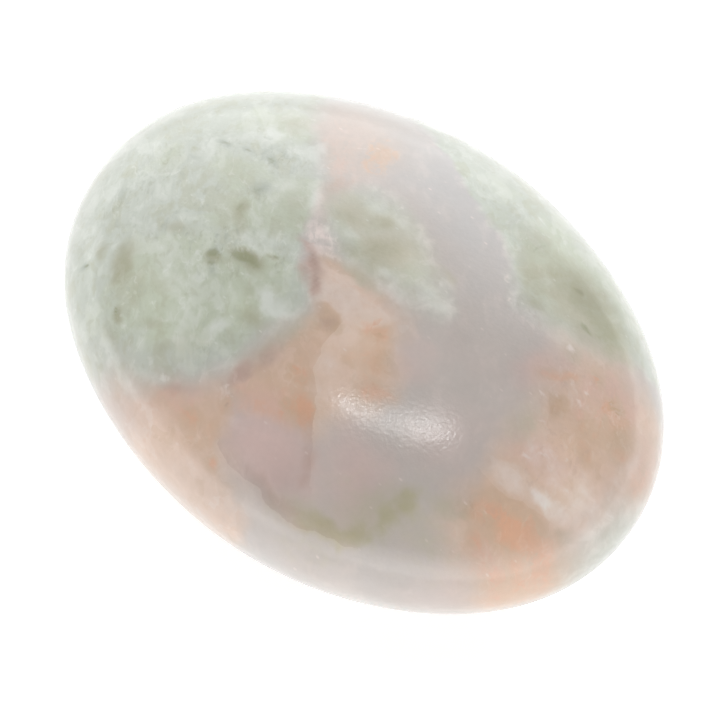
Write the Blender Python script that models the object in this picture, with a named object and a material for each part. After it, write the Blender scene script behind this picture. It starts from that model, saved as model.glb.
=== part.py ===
"""A palm stone of polished calcite, lying on the small flat ground into its belly.

Metres, +Z up. The long axis runs along X and the thickness along Z. The origin is the middle of
the stone's footprint, and the resting flat lies in the plane z = 0.
"""

import math

import bmesh
import bpy
from mathutils import Vector

# Driving dimensions. The thickness is measured from the resting flat to the top, and the flat
# takes FLAT_DEPTH off the belly
LENGTH = 0.0660
WIDTH = 0.0488
THICKNESS = 0.0230
FLAT_DEPTH = 0.00025

# A true ellipsoid is too lean for a hand-shaped stone: halfway between the rim and the top, this
# share of the radius is added
SHOULDER_FULLNESS = 0.032

# Seen from above, the outline departs a little from an ellipse. Each row is one wave round the
# rim: how many crests it has, their height as a share of the radius, and the first crest's angle
OUTLINE_WAVES = (
    (3, 0.0017, math.radians(57.0)),
    (5, 0.0019, math.radians(14.0)),
    (6, 0.0032, math.radians(39.0)),
)

# How finely the solid is faceted: columns round the rim, and rows from the belly to the top
COLUMNS = 80
ROWS = 40

# The mean of the sage green and peach zones, as a linear colour, under a hand polish
STONE_COLOUR = (0.50, 0.47, 0.40, 1.0)
STONE_ROUGHNESS = 0.22

# Neighbouring facets meet at less than this angle everywhere but round the flat
SMOOTH_ANGLE = math.radians(20.0)


def clear_scene():
    """Remove whatever the file holds, such as the default cube."""
    for thing in list(bpy.data.objects):
        bpy.data.objects.remove(thing, do_unlink=True)


def make_collection(name):
    """Return a new collection linked to the scene."""
    collection = bpy.data.collections.new(name)
    bpy.context.scene.collection.children.link(collection)
    return collection


def make_stone_material():
    """A pale polished stone."""
    material = bpy.data.materials.new("polished_calcite")
    material.use_nodes = True
    shader = material.node_tree.nodes["Principled BSDF"]
    shader.inputs["Base Color"].default_value = STONE_COLOUR
    shader.inputs["Roughness"].default_value = STONE_ROUGHNESS
    shader.inputs["Metallic"].default_value = 0.0
    material.diffuse_color = STONE_COLOUR
    return material


def outline_factor(angle):
    """How far the rim stands out at this angle round the stone, as a share of the ellipse."""
    return 1.0 + sum(height * math.cos(crests * (angle - first))
                     for crests, height, first in OUTLINE_WAVES)


def pebble_point(direction):
    """Where a point of the unit sphere goes on a pebble of unit half length, width and depth.

    The latitude decides how full the section is and the longitude decides the outline. Every
    point of one latitude has the same height, so the rows of the sphere stay level.
    """
    latitude = math.asin(max(-1.0, min(1.0, direction.z)))
    longitude = math.atan2(direction.y, direction.x)
    reach = 1.0 + SHOULDER_FULLNESS * math.sin(2.0 * latitude) ** 2
    spread = reach * outline_factor(longitude)
    return Vector((direction.x * spread, direction.y * spread, direction.z * reach))


def bring_to_size(shape):
    """Stretch the unit pebble to the driving sizes, centred over the origin.

    The waves shift the unit outline's extent a little, so it is measured first. The belly hangs
    below z = 0 by the depth that the flat takes off.
    """
    sizes = (LENGTH, WIDTH, THICKNESS + FLAT_DEPTH)
    for axis, size in enumerate(sizes):
        low = min(vertex.co[axis] for vertex in shape.verts)
        high = max(vertex.co[axis] for vertex in shape.verts)
        for vertex in shape.verts:
            vertex.co[axis] = size * ((vertex.co[axis] - low) / (high - low) - 0.5)
    bmesh.ops.translate(shape, verts=shape.verts, vec=(0.0, 0.0, (THICKNESS - FLAT_DEPTH) / 2))


def grind_resting_flat(shape):
    """Cut the belly off at z = 0 and close the cut with a fan of faces."""
    cut = bmesh.ops.bisect_plane(
        shape,
        geom=shape.verts[:] + shape.edges[:] + shape.faces[:],
        plane_co=(0.0, 0.0, 0.0),
        plane_no=(0.0, 0.0, -1.0),
        clear_outer=True,
    )
    rim = [item for item in cut["geom_cut"] if isinstance(item, bmesh.types.BMEdge)]
    flat = bmesh.ops.contextual_create(shape, geom=rim)["faces"]
    bmesh.ops.poke(shape, faces=flat)


def make_stone(collection, material):
    """Shape the stone from a sphere and grind its resting flat."""
    shape = bmesh.new()
    bmesh.ops.create_uvsphere(shape, u_segments=COLUMNS, v_segments=ROWS, radius=1.0)
    for vertex in shape.verts:
        vertex.co = pebble_point(vertex.co.normalized())
    bring_to_size(shape)
    grind_resting_flat(shape)
    bmesh.ops.recalc_face_normals(shape, faces=shape.faces)

    mesh = bpy.data.meshes.new("palm_stone")
    shape.to_mesh(mesh)
    shape.free()
    mesh.shade_smooth()
    mesh.set_sharp_from_angle(angle=SMOOTH_ANGLE)
    mesh.materials.append(material)

    stone = bpy.data.objects.new("palm_stone", mesh)
    collection.objects.link(stone)
    return stone


def main():
    clear_scene()
    collection = make_collection("calcite_palm_stone")
    make_stone(collection, make_stone_material())


main()
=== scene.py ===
import math

import bmesh
import bpy
import numpy as np
from mathutils import Matrix, Vector, noise


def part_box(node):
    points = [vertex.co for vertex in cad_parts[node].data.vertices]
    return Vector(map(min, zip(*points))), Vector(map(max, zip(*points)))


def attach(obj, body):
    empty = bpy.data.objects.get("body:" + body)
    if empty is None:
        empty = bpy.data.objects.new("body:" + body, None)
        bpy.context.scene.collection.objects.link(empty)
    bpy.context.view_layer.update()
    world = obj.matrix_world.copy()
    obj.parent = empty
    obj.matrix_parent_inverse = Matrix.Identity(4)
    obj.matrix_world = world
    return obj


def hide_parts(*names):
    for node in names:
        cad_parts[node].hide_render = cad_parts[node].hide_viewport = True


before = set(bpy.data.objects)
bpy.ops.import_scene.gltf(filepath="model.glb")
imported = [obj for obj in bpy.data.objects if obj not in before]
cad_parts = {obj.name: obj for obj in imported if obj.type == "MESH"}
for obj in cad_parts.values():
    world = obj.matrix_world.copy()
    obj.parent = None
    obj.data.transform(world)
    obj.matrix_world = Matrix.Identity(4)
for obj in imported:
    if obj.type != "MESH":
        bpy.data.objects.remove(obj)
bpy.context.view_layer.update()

# %% [markdown]
# # A palm stone of calcite
#
# A palm stone is one piece of rock, sawn, ground and polished to an oval that lies in the hand.
# Nothing on it moves and nothing is joined to it, so the lesson is about two things: a smooth form
# that a formula can give, and a stone that is coloured all the way through.
#
# The frame holds the solid that others measure and drop on a table. Everything made here is the
# same stone again, finer and with its colours, so the first step reads how large that solid is.

# %% How large the solid is
MM = 0.001
STONE_LOW, STONE_HIGH = (Vector(corner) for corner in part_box("palm_stone"))
STONE_SIZE = STONE_HIGH - STONE_LOW
STONE_MIDDLE = (STONE_LOW + STONE_HIGH) / 2
print("stone, in mm:", [round(side / MM, 2) for side in STONE_SIZE])

# %% [markdown]
# ## Where the eye is
#
# In the photo the stone fills five sixths of the width, seen from sixty degrees above the table.
# Its long axis runs from the upper left to the lower right, so the camera stands round to the
# right of it. A long lens keeps the near end from swelling, and a shorter one held closer would
# show less of the far rim.

# %% The camera's place, and the picture's own directions
VIEW_HEIGHT = math.radians(60.0)
VIEW_ROUND = math.radians(42.9)
VIEW_DISTANCE = 0.2632
LENS = 135.0
# The lens points a little left of the stone's middle and below it
AIM_RIGHT, AIM_UP = -0.22 * MM, -1.62 * MM
NEAREST_SEEN = 10.0 * MM

to_camera = Vector((math.sin(VIEW_ROUND) * math.cos(VIEW_HEIGHT),
                    -math.cos(VIEW_ROUND) * math.cos(VIEW_HEIGHT),
                    math.sin(VIEW_HEIGHT)))
view_right = Vector((math.cos(VIEW_ROUND), math.sin(VIEW_ROUND), 0.0))
view_up = to_camera.cross(view_right)
view_forward = Vector((-math.sin(VIEW_ROUND), math.cos(VIEW_ROUND), 0.0))


def add_camera():
    """A long lens aimed at the stone."""
    data = bpy.data.cameras.new("studio_camera")
    data.lens = LENS
    data.clip_start = NEAREST_SEEN
    camera = bpy.data.objects.new("studio_camera", data)
    aim = STONE_MIDDLE + view_right * AIM_RIGHT + view_up * AIM_UP
    turn = Matrix((view_right, view_up, to_camera)).transposed().to_4x4()
    camera.matrix_world = Matrix.Translation(aim + to_camera * VIEW_DISTANCE) @ turn
    bpy.context.scene.collection.objects.link(camera)
    bpy.context.scene.camera = camera
    return camera


camera = add_camera()
print("camera at", [round(value, 3) for value in camera.matrix_world.translation])


# %% [markdown]
# ## Short ways to write node trees
#
# The form, the stone's colours and the room's light are all node trees, and each has dozens of
# small sums in it. Five helpers keep those sums as short as the lines of a formula. One adds a
# node and joins what goes into it, and the others add a sum of numbers, a product, a sum of
# directions, and a slope from one value to another.

# %% Helpers that add nodes
def add_node(tree, kind, inputs=None, **settings):
    """Add a node, set its properties, and set or link its inputs by name or number."""
    node = tree.nodes.new(kind)
    for name, value in settings.items():
        setattr(node, name, value)
    for socket, value in (inputs or {}).items():
        if isinstance(value, bpy.types.NodeSocket):
            tree.links.new(value, node.inputs[socket])
        else:
            node.inputs[socket].default_value = value
    return node


def maths(tree, operation, first, second=0.0, third=0.0):
    """One sum of plain numbers."""
    inputs = {0: first, 1: second, 2: third}
    return add_node(tree, "ShaderNodeMath", inputs, operation=operation).outputs[0]


def times(tree, first, second):
    """The product of two numbers."""
    return maths(tree, "MULTIPLY", first, second)


def vector_maths(tree, operation, first, second=None, scale=None):
    """One sum of directions or places."""
    inputs = {0: first}
    if second is not None:
        inputs[1] = second
    if scale is not None:
        inputs["Scale"] = scale
    node = add_node(tree, "ShaderNodeVectorMath", inputs, operation=operation)
    is_number = operation in ("DOT_PRODUCT", "LENGTH", "DISTANCE")
    return node.outputs["Value" if is_number else "Vector"]


def ramp(tree, value, start, stop, low=0.0, high=1.0, smooth=False):
    """low up to start and high from stop on, with a slope between them."""
    kind = "SMOOTHSTEP" if smooth else "LINEAR"
    node = add_node(tree, "ShaderNodeMapRange", {0: value, 1: start, 2: stop, 3: low, 4: high},
                    interpolation_type=kind, clamp=True)
    return node.outputs[0]


# %% [markdown]
# ## The form
#
# A grinder brings the rough block to an oval on a wheel, then rounds it by hand until no edge is
# left. What comes off the wheel is close to an ellipsoid with fuller shoulders, and its outline
# wavers by a tenth of a millimetre where the hand pressed longer.
#
# A sphere from the Add menu would pinch its faces together at two poles, and on a polished
# surface a pinch shows as a star. A cube that is cut into many small squares and blown up into a
# ball has no poles. The ball is then stretched to the stone's sizes.

# %% What shapes the pebble
SQUARES_ALONG = 120
# This share of the radius is added halfway between the rim and the top
SHOULDER_FULLNESS = 0.032
# Each wave round the rim: how many crests, their height as a share of the radius, and the angle
# of the first crest
OUTLINE_WAVES = (
    (3, 0.0017, math.radians(57.0)),
    (5, 0.0019, math.radians(14.0)),
    (6, 0.0032, math.radians(39.0)),
)
FLAT_DEPTH = 0.25 * MM


# %% The tree that blows up a cube into a pebble
def pebble_tree():
    """The sizes, Fullness, Squares and Material in, a smooth pebble out."""
    tree = bpy.data.node_groups.new("pebble", "GeometryNodeTree")
    for name, kind in (("Length", "NodeSocketFloat"), ("Width", "NodeSocketFloat"),
                       ("Depth", "NodeSocketFloat"), ("Fullness", "NodeSocketFloat"),
                       ("Squares", "NodeSocketInt"), ("Material", "NodeSocketMaterial")):
        tree.interface.new_socket(name, in_out="INPUT", socket_type=kind)
    tree.interface.new_socket("Geometry", in_out="OUTPUT", socket_type="NodeSocketGeometry")
    given = tree.nodes.new("NodeGroupInput").outputs

    # The cube reaches from -1 to 1 along each axis
    points = maths(tree, "ADD", given["Squares"], 1.0)
    cube = add_node(tree, "GeometryNodeMeshCube",
                    {"Size": (2.0, 2.0, 2.0), "Vertices X": points, "Vertices Y": points,
                     "Vertices Z": points})
    place = tree.nodes.new("GeometryNodeInputPosition").outputs[0]

    # The tangent spreads the squares evenly over the ball
    axes = add_node(tree, "ShaderNodeSeparateXYZ", {0: place})
    spread = [maths(tree, "TANGENT", times(tree, axes.outputs[axis], math.pi / 4))
              for axis in range(3)]
    even = add_node(tree, "ShaderNodeCombineXYZ", dict(enumerate(spread)))
    ball = vector_maths(tree, "NORMALIZE", even.outputs[0])
    x, y, z = add_node(tree, "ShaderNodeSeparateXYZ", {0: ball}).outputs

    latitude = maths(tree, "ARCSINE", z)
    longitude = maths(tree, "ARCTAN2", y, x)
    shoulder = maths(tree, "SINE", times(tree, latitude, 2.0))
    reach = maths(tree, "MULTIPLY_ADD", times(tree, shoulder, shoulder), given["Fullness"], 1.0)

    outline = 1.0
    for crests, height, first in OUTLINE_WAVES:
        angle = maths(tree, "MULTIPLY_ADD", longitude, float(crests), -crests * first)
        outline = maths(tree, "MULTIPLY_ADD", maths(tree, "COSINE", angle), height, outline)
    across = times(tree, reach, outline)

    sides = ((x, across, "Length"), (y, across, "Width"), (z, reach, "Depth"))
    stretched = {}
    for axis, (along, factor, size) in enumerate(sides):
        half = times(tree, given[size], 0.5)
        stretched[axis] = times(tree, times(tree, along, factor), half)
    shaped = add_node(tree, "ShaderNodeCombineXYZ", stretched)
    moved = add_node(tree, "GeometryNodeSetPosition",
                     {"Geometry": cube.outputs["Mesh"], "Position": shaped.outputs[0]})
    smooth = add_node(tree, "GeometryNodeSetShadeSmooth", {"Geometry": moved.outputs[0]})
    real = add_node(tree, "GeometryNodeRealizeInstances", {"Geometry": smooth.outputs[0]})
    finished = add_node(tree, "GeometryNodeSetMaterial",
                        {"Geometry": real.outputs[0], "Material": given["Material"]})
    result = tree.nodes.new("NodeGroupOutput")
    tree.links.new(finished.outputs[0], result.inputs[0])
    return tree


# %% Turning the tree's result into a plain mesh
def run_tree(name, tree, values):
    """Evaluate a geometry tree on an empty mesh object and keep its result as a plain mesh."""
    carrier = bpy.data.objects.new(name, bpy.data.meshes.new(name))
    bpy.context.scene.collection.objects.link(carrier)
    modifier = carrier.modifiers.new("shape", "NODES")
    modifier.node_group = tree
    for item in tree.interface.items_tree:
        if item.in_out == "INPUT" and item.name in values:
            modifier[item.identifier] = values[item.name]
    bpy.context.view_layer.update()
    depsgraph = bpy.context.evaluated_depsgraph_get()
    mesh = bpy.data.meshes.new_from_object(carrier.evaluated_get(depsgraph), depsgraph=depsgraph)
    carrier.modifiers.remove(modifier)
    empty = carrier.data
    carrier.data = mesh
    mesh.name = name
    bpy.data.meshes.remove(empty)
    return carrier


stone_material = bpy.data.materials.new("polished_calcite")
stone = run_tree("calcite_palm_stone", pebble_tree(), {
    "Length": STONE_SIZE.x, "Width": STONE_SIZE.y, "Depth": STONE_SIZE.z + FLAT_DEPTH,
    "Fullness": SHOULDER_FULLNESS, "Squares": SQUARES_ALONG, "Material": stone_material,
})
print("pebble:", len(stone.data.polygons), "squares")


# %% [markdown]
# ## The flat it rests on
#
# A pebble would rock. The maker takes a quarter of a millimetre off the belly, which is enough
# for an oval flat as wide as a fingertip. Here every point below the table is lifted onto it.

# %% Standing it on its flat
def settle_on_flat(mesh):
    """Fit the pebble to the solid's box, and grind flat what hangs below the table."""
    places = np.empty(len(mesh.vertices) * 3)
    mesh.vertices.foreach_get("co", places)
    places = places.reshape(-1, 3)
    low, high = places.min(axis=0), places.max(axis=0)
    target_low = np.array(STONE_LOW) - (0.0, 0.0, FLAT_DEPTH)
    places = target_low + (places - low) / (high - low) * (np.array(STONE_HIGH) - target_low)
    places[:, 2] = np.maximum(places[:, 2], STONE_LOW.z)
    mesh.vertices.foreach_set("co", places.ravel())
    mesh.update()
    return places


places = settle_on_flat(stone.data)
print("box in mm:", (places.min(axis=0) / MM).round(2), (places.max(axis=0) / MM).round(2))

# %% [markdown]
# ## Where the colours lie
#
# Calcite is white when it is pure. Here other minerals came in with the water while it grew:
# green clouds fill one end, orange iron stains the cracks in the middle and at the far end, and
# between them the stone is a clear lilac grey. Polishing cut through these bodies, so their edges
# on the skin are wandering lines.
#
# Each body is drawn as an outline on the top, in millimetres from the middle, x along the stone
# and y across it. Every point of the skin then stores how far inside an outline it lies. A shader
# can turn one such distance into a mask with a hard edge, a soft edge or a pale fringe, so the
# distance is worth more than a painted mask. Small stains are ellipses that fade from their middle
# outwards.

# %% The outlines of the coloured bodies
WEST_GREEN = (
    (-45, 30), (-25, 30), (-21.5, 20), (-19.5, 16.5), (-18.4, 14), (-17, 11.6), (-15, 9.9),
    (-12.8, 8.7), (-11, 6.6), (-9.8, 5), (-8.8, 3.2), (-8, 1.2), (-7.2, -0.5), (-5.2, -2.4),
    (-3.6, -3.8), (-1.9, -4.9), (-1.3, -6), (-1.6, -7.4), (-2.1, -8.8), (-2.7, -9.8), (-2.6, -11.5),
    (-2.9, -13.2), (-3.4, -14.8), (-4.7, -16.4), (-6.3, -17.8), (-7.8, -19.3), (-10.5, -20.7),
    (-13.5, -21.4), (-18, -24), (-18, -30), (-45, -30),
)
MIDDLE_GREEN = (
    (-8.2, 5.4), (-7.6, 7.4), (-6, 8.8), (-3.5, 9.4), (-1, 8.9), (1, 8.1), (2.4, 7.1), (3.4, 6.2),
    (5, 5.6), (6.8, 4.9), (8.6, 3.3), (8, 2.2), (6, 1.6), (3.6, 1.3), (1, 0.8), (-2, 0.6),
    (-4, 1.2), (-5.4, 2.2), (-6.8, 2.6), (-7.8, 4),
)
EAST_GREEN = (
    (-22, 30), (-20, 19.4), (-16, 20), (-12, 20.2), (-8, 19.4), (-5, 18), (-2, 16.6), (1, 15.4),
    (4, 14.3), (6.5, 13.6), (8.5, 12.3), (10, 10.7), (11.2, 9.6), (12.6, 8.8), (14.5, 9.2),
    (17, 9.6), (18.6, 10.4), (20, 11.2), (22, 12.6), (24, 13.8), (27, 15), (36, 18), (36, 30),
)
MIDDLE_PEACH = (
    (-4.4, -0.4), (-2.4, 0.2), (-1, 0.9), (1, 0.9), (3, 0.6), (5, 0.2), (6.6, -1), (7.6, -3),
    (9.6, -5), (11, -7), (10.4, -9), (8.6, -10.6), (7.8, -12.6), (7.4, -14.4), (5, -15), (3, -15.6),
    (1, -16.2), (-2, -16.6), (-2.8, -14), (-2.2, -11), (-1.8, -9), (-1.6, -7), (-1.4, -5.3),
    (-2.9, -3.8), (-4.4, -2),
)
EAST_PEACH = (
    (17.8, 9.3), (18.6, 7), (18.4, 5), (19.6, 4), (20.2, 1), (20.8, -2), (21, -5), (21.4, -7),
    (20.6, -9.5), (21.5, -12.4), (24, -13.4), (27, -14), (29.5, -14.5), (34, -10), (34, -6),
    (31.2, -4), (31.6, 2), (33, 6), (32, 9.6), (29.8, 11.2), (27.4, 11.9), (25.2, 12.1),
    (23.2, 12.4), (20.6, 11.2),
)
RIM_PEACH = (
    (-12.5, -20.9), (-10.5, -21), (-8, -19.7), (-6.2, -18.4), (-4.4, -17), (-2.6, -15.8),
    (-0.5, -16.2), (0.5, -18), (1.4, -19.9), (3, -21.2), (5, -22.4), (7, -23.4), (7.4, -28),
    (-9, -28), (-10, -23.4), (-12, -22),
)
END_GREEN = (
    (32.6, 4.5), (31.8, 1), (31.6, -2), (31.8, -5), (32.8, -8), (34.5, -11), (37, -13), (45, -14),
    (45, 6), (36, 6.5),
)
PINK_PATCH = (
    (-17.4, 15.4), (-15, 16.4), (-12.8, 16.2), (-10, 15.8), (-7.6, 15), (-6.6, 13), (-6.8, 11),
    (-7.2, 9.4), (-7.8, 8), (-7.9, 6), (-7.4, 4), (-6.6, 2.4), (-8.2, 2.6), (-9.6, 5), (-11, 6.8),
    (-13, 8.8), (-15, 10), (-16.8, 11.8), (-18.2, 14),
)
# Single crystals with crisp sides, paler and darker than the peach round them
CREAM_CRYSTALS = (
    ((-2.3, -2.4), (-1.5, -4.2), (-0.7, -4.6), (-0.4, -3.9), (0.4, -3.8), (1.7, -4.2), (3.5, -3.9),
     (4.2, -3.2), (5.2, -1.8), (4, -0.9), (1, -1), (-0.8, -1.5)),
    ((21.4, -5.8), (21.4, -4.6), (22.6, -3.9), (24.4, -3.4), (26.2, -3.2), (27.6, -3.6),
     (28, -4.7), (26.6, -5), (25, -5.5), (23.4, -5.9)),
    ((29.6, 6.8), (30.6, 5.4), (30.6, 3), (29.8, 2.4), (29.4, 4.4)),
)
TAN_CRYSTALS = (
    ((26.7, 8.2), (27.5, 7.6), (28.2, 6.2), (28.9, 4.7), (28.2, 4.1), (27.2, 4), (26.2, 3.4),
     (25, 3.5), (24.2, 4.4), (25.2, 5.8), (26, 7)),
    ((24.4, 9.4), (25.4, 9.2), (26.2, 8.2), (25.5, 7.4), (24.6, 8)),
    ((18.4, 5.2), (19.2, 6.1), (20, 7), (21.2, 7.4), (21.6, 6.8), (20.8, 6.2), (20, 5.4),
     (19.2, 4.6)),
    ((21.3, 4.6), (22.2, 4.9), (23.2, 4.4), (23, 3.4), (22.2, 2.8), (21.5, 3.2)),
    ((23.2, -6.3), (25.5, -5.8), (27.3, -5.5), (29.1, -5.8), (29.2, -8), (27.6, -9.7), (25, -9.6),
     (22.4, -9.8), (21.9, -8.2)),
    ((2.8, -13.4), (4.6, -13), (5.4, -12.6), (6.3, -12.8), (7.4, -13.8), (6, -14.1), (4.2, -14.1),
     (3, -14.6)),
    ((-1.2, -5), (-0.4, -3.9), (1, -3.8), (2.9, -5.1), (2.4, -6.4), (1.2, -6.2), (-0.4, -5.5)),
    ((4.6, -2.8), (5.6, -2.6), (6.2, -3.4), (5.6, -4), (4.8, -3.8)),
    ((6.2, -5.6), (6.6, -4.8), (7.7, -4.8), (8, -5.6), (7.2, -6.2), (6.4, -6)),
    ((8, -6.4), (8.6, -5.8), (9.4, -6.4), (9.2, -7.4), (8.3, -7.5)),
    ((4.2, -7), (5, -6.6), (6, -7), (6, -7.5), (4.8, -7.6)),
    ((1.2, -10.9), (2.4, -10.4), (3.6, -10.6), (3.9, -11.4), (2.6, -11.8), (1.3, -11.6)),
)
HEALED_CRACK = (
    (2.1, -5), (2.4, -6), (2.5, -7.5), (3.1, -8.4), (3.6, -9.8), (4.4, -10.6), (5.5, -11.9),
    (7.2, -13.8),
)
CRACK_TAIL = ((7, -13.6), (8.4, -15.5), (10.1, -17.2))
LOWER_CRACK = (
    (1.2, -20), (2.2, -20.8), (4.9, -20.9), (7, -21), (8.8, -21.2), (11.8, -20.4), (13.9, -19.9),
    (16.5, -18.8),
)
OLIVE_LINE = (
    (8.2, -21.2), (10.4, -20.5), (12.4, -19.8), (14, -19.3), (15.8, -18.3), (17.2, -16.2),
    (17.9, -14.6), (18.2, -12.6),
)
MILK_VEIN = (
    (-10.2, 5.4), (-8.6, 3.4), (-7.6, 1.4), (-6, 0.4), (-3.4, 0.1), (-1, 0.6), (1.2, 1.2),
    (3.4, 1.8), (5.2, 2.1),
)
EAST_CRACK = ((21.2, -6.3), (24.7, -6.3), (25.6, -5.6), (27, -5.4), (28.6, -4.8))

# %% [markdown]
# ## The stains
#
# Iron and other minerals also seeped in along cracks after the bodies had grown. They left spots
# with no clear border, strong in the middle and gone a millimetre or two further on. Painting
# them on an image would give every spot the sharpness of that image. An ellipse with a strength
# needs only six numbers, and noise in the shader roughens it later, so it is crisp from close by.

# %% The stains, each as x, y, half length, half width, turn in degrees and strength
ORANGE_STAINS = (
    (-8.9, 12.9, 1.2, 2, 40, 0.52), (-9.8, 14.6, 1.2, 0.6, -40, 0.3),
    (-11.6, 9.6, 1.9, 1.1, -10, 0.12), (-8.4, 10.8, 1.2, 0.8, 0, 0.4),
    (5.4, -13.2, 2.4, 1.1, -26, 1), (3.6, -14.2, 1.8, 0.7, -10, 0.6),
    (2.4, -10.9, 1.8, 1, 20, 0.75), (1.6, -8.8, 2.4, 2.4, 0, 0.5), (1.8, -13.2, 2.6, 1.6, 0, 0.5),
    (0.6, -6.6, 1.3, 0.8, -30, 0.4), (5, -3, 1.7, 1.1, 10, 0.75), (7, -5.4, 1.9, 1.4, 0, 0.7),
    (1.2, -5, 1.4, 1, 0, 0.3), (0.8, -16.8, 1.8, 1, 0, 0.6), (4.6, -12.6, 1.6, 1, -10, 0.7),
    (-2.6, -0.3, 2.2, 0.4, 12, 0.6), (30.2, -7.4, 2.2, 2.4, 0, 0.8), (30.6, 4.6, 0.9, 1.8, 0, 0.6),
    (24.9, -7.9, 2, 1.4, 0, 0.6), (27.4, -10.6, 2.4, 1.4, 20, 0.3), (9, -7.4, 1.3, 1.2, 0, 0.7),
    (5.2, -6.8, 1.3, 0.8, 0, 0.45), (-0.6, 0.5, 1.5, 0.5, 10, 0.6), (27.2, 6.3, 2.2, 2, -45, 0.8),
    (25.2, 7.4, 1.2, 0.9, -20, 0.9), (28.6, 5.2, 1, 1.2, 20, 0.8), (20.4, 6.4, 1.9, 0.7, 40, 0.9),
    (19.2, 5.2, 1, 0.6, 30, 0.7), (22, 3.6, 0.9, 1.2, 10, 0.7), (22.5, 8.6, 0.9, 0.7, 0, 0.8),
    (26.4, 2.4, 1.6, 0.9, -30, 0.6), (26, 3.8, 1.8, 1.2, 0, 0.55), (26.6, -8, 3.8, 2, 8, 1),
    (23, -8.6, 1.8, 1.8, 40, 0.7), (24.6, -11, 1.2, 0.7, -20, 0.7), (28.8, -9.6, 1.8, 1.6, 0, 0.75),
    (29.9, -5.2, 0.8, 1.4, 0, 0.6), (1.3, -21.6, 0.9, 0.6, 0, 0.9),
    (-3.2, -19.8, 1.8, 0.8, -10, 0.75), (-6.4, -19.3, 1.8, 0.6, 15, 0.6),
    (-0.9, -16.9, 1, 1, 0, 0.7), (-1.4, -21.4, 1.4, 0.6, 0, 0.4), (9.2, -7.6, 1.8, 1.4, 10, 1),
    (-0.4, -19.6, 1.6, 1.4, 0, 0.5), (31.2, 6, 1.6, 3.4, 0, 0.75), (24.8, 9, 1.4, 1, -20, 0.6),
    (24.5, 7, 5, 4, -30, 0.42), (25.5, 2, 3.4, 3, 0, 0.22), (27, -6.5, 5, 3.5, 0, 0.42),
    (-10, 8, 2.4, 2, -30, 0.1), (-8, -20, 3.4, 0.8, 5, 0.55), (1, -15.6, 4, 1, 5, 0.5),
    (-14, -20.6, 1.6, 0.5, -10, 0.5), (27, -12, 3, 1.4, 30, 0.6),
)
OLIVE_STAINS = (
    (-9.7, -5.3, 2.1, 0.75, 2, 1), (-12.4, -7.4, 0.9, 0.8, 0, 0.95),
    (-14.3, -1.3, 1.5, 0.8, -50, 0.75), (-12.4, -3.1, 1.3, 0.6, -45, 0.55),
    (-8, -3.6, 1, 0.4, 20, 0.6), (-10.5, 2, 2.8, 1.9, -35, 0.4), (-18, 2, 2, 1.6, 0, 0.35),
    (-17.8, 10.2, 2.2, 1.4, 0, 0.5), (-19.4, -12.6, 2.6, 1.1, -62, 0.85),
    (-16.2, -14, 1.6, 0.9, -40, 0.5), (-22.6, -12.4, 1.3, 0.6, -45, 0.6),
    (-17.8, -6.9, 1.9, 0.9, 10, 0.55), (-16.4, -16.4, 1, 0.5, -30, 0.85),
    (-5, -9.7, 1.7, 0.9, 20, 0.6), (-7, -7.8, 1.3, 0.9, 0, 0.45), (-9.8, -16.8, 1.1, 1.1, 0, 0.5),
    (-12.4, -15.6, 1.6, 0.6, 30, 0.45), (-15.4, -18.2, 2, 0.8, -20, 0.5), (-27, 3, 2, 2.6, 0, 0.35),
    (-24.6, -0.6, 2.4, 1.2, -45, 0.3), (-2.8, 6.3, 1.3, 1, 20, 0.45), (-0.8, 3.6, 1.5, 2, -10, 0.5),
    (-5.6, 4.6, 1.8, 0.8, 15, 0.45), (-3, 2, 1.6, 0.8, 10, 0.5), (5.4, 6.2, 1.4, 0.6, -20, 0.35),
    (15.3, 15, 1.3, 1, 10, 1), (14.6, 15, 4.4, 2.6, -14, 0.8), (16.8, 15.2, 3.6, 2, -30, 0.8),
    (19.8, 13.6, 3.2, 2, -25, 0.8), (9.2, 15.4, 1.6, 2, 20, 0.5), (18.3, 12, 1, 0.8, 0, 0.5),
    (13.3, 10.1, 1.4, 0.8, 0, 0.6), (11.6, 12.4, 2.6, 1.6, -45, 0.6), (18, -13.2, 0.9, 1.5, 0, 0.9),
    (17.6, -15.4, 0.8, 1.4, 15, 0.8), (14.2, -19.2, 2, 0.8, 14, 1), (16, -18, 1.4, 0.9, 30, 0.85),
    (12.2, -19.9, 1.6, 0.6, 10, 0.75), (17.2, -16.6, 1, 0.8, 0, 0.5),
)
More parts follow.
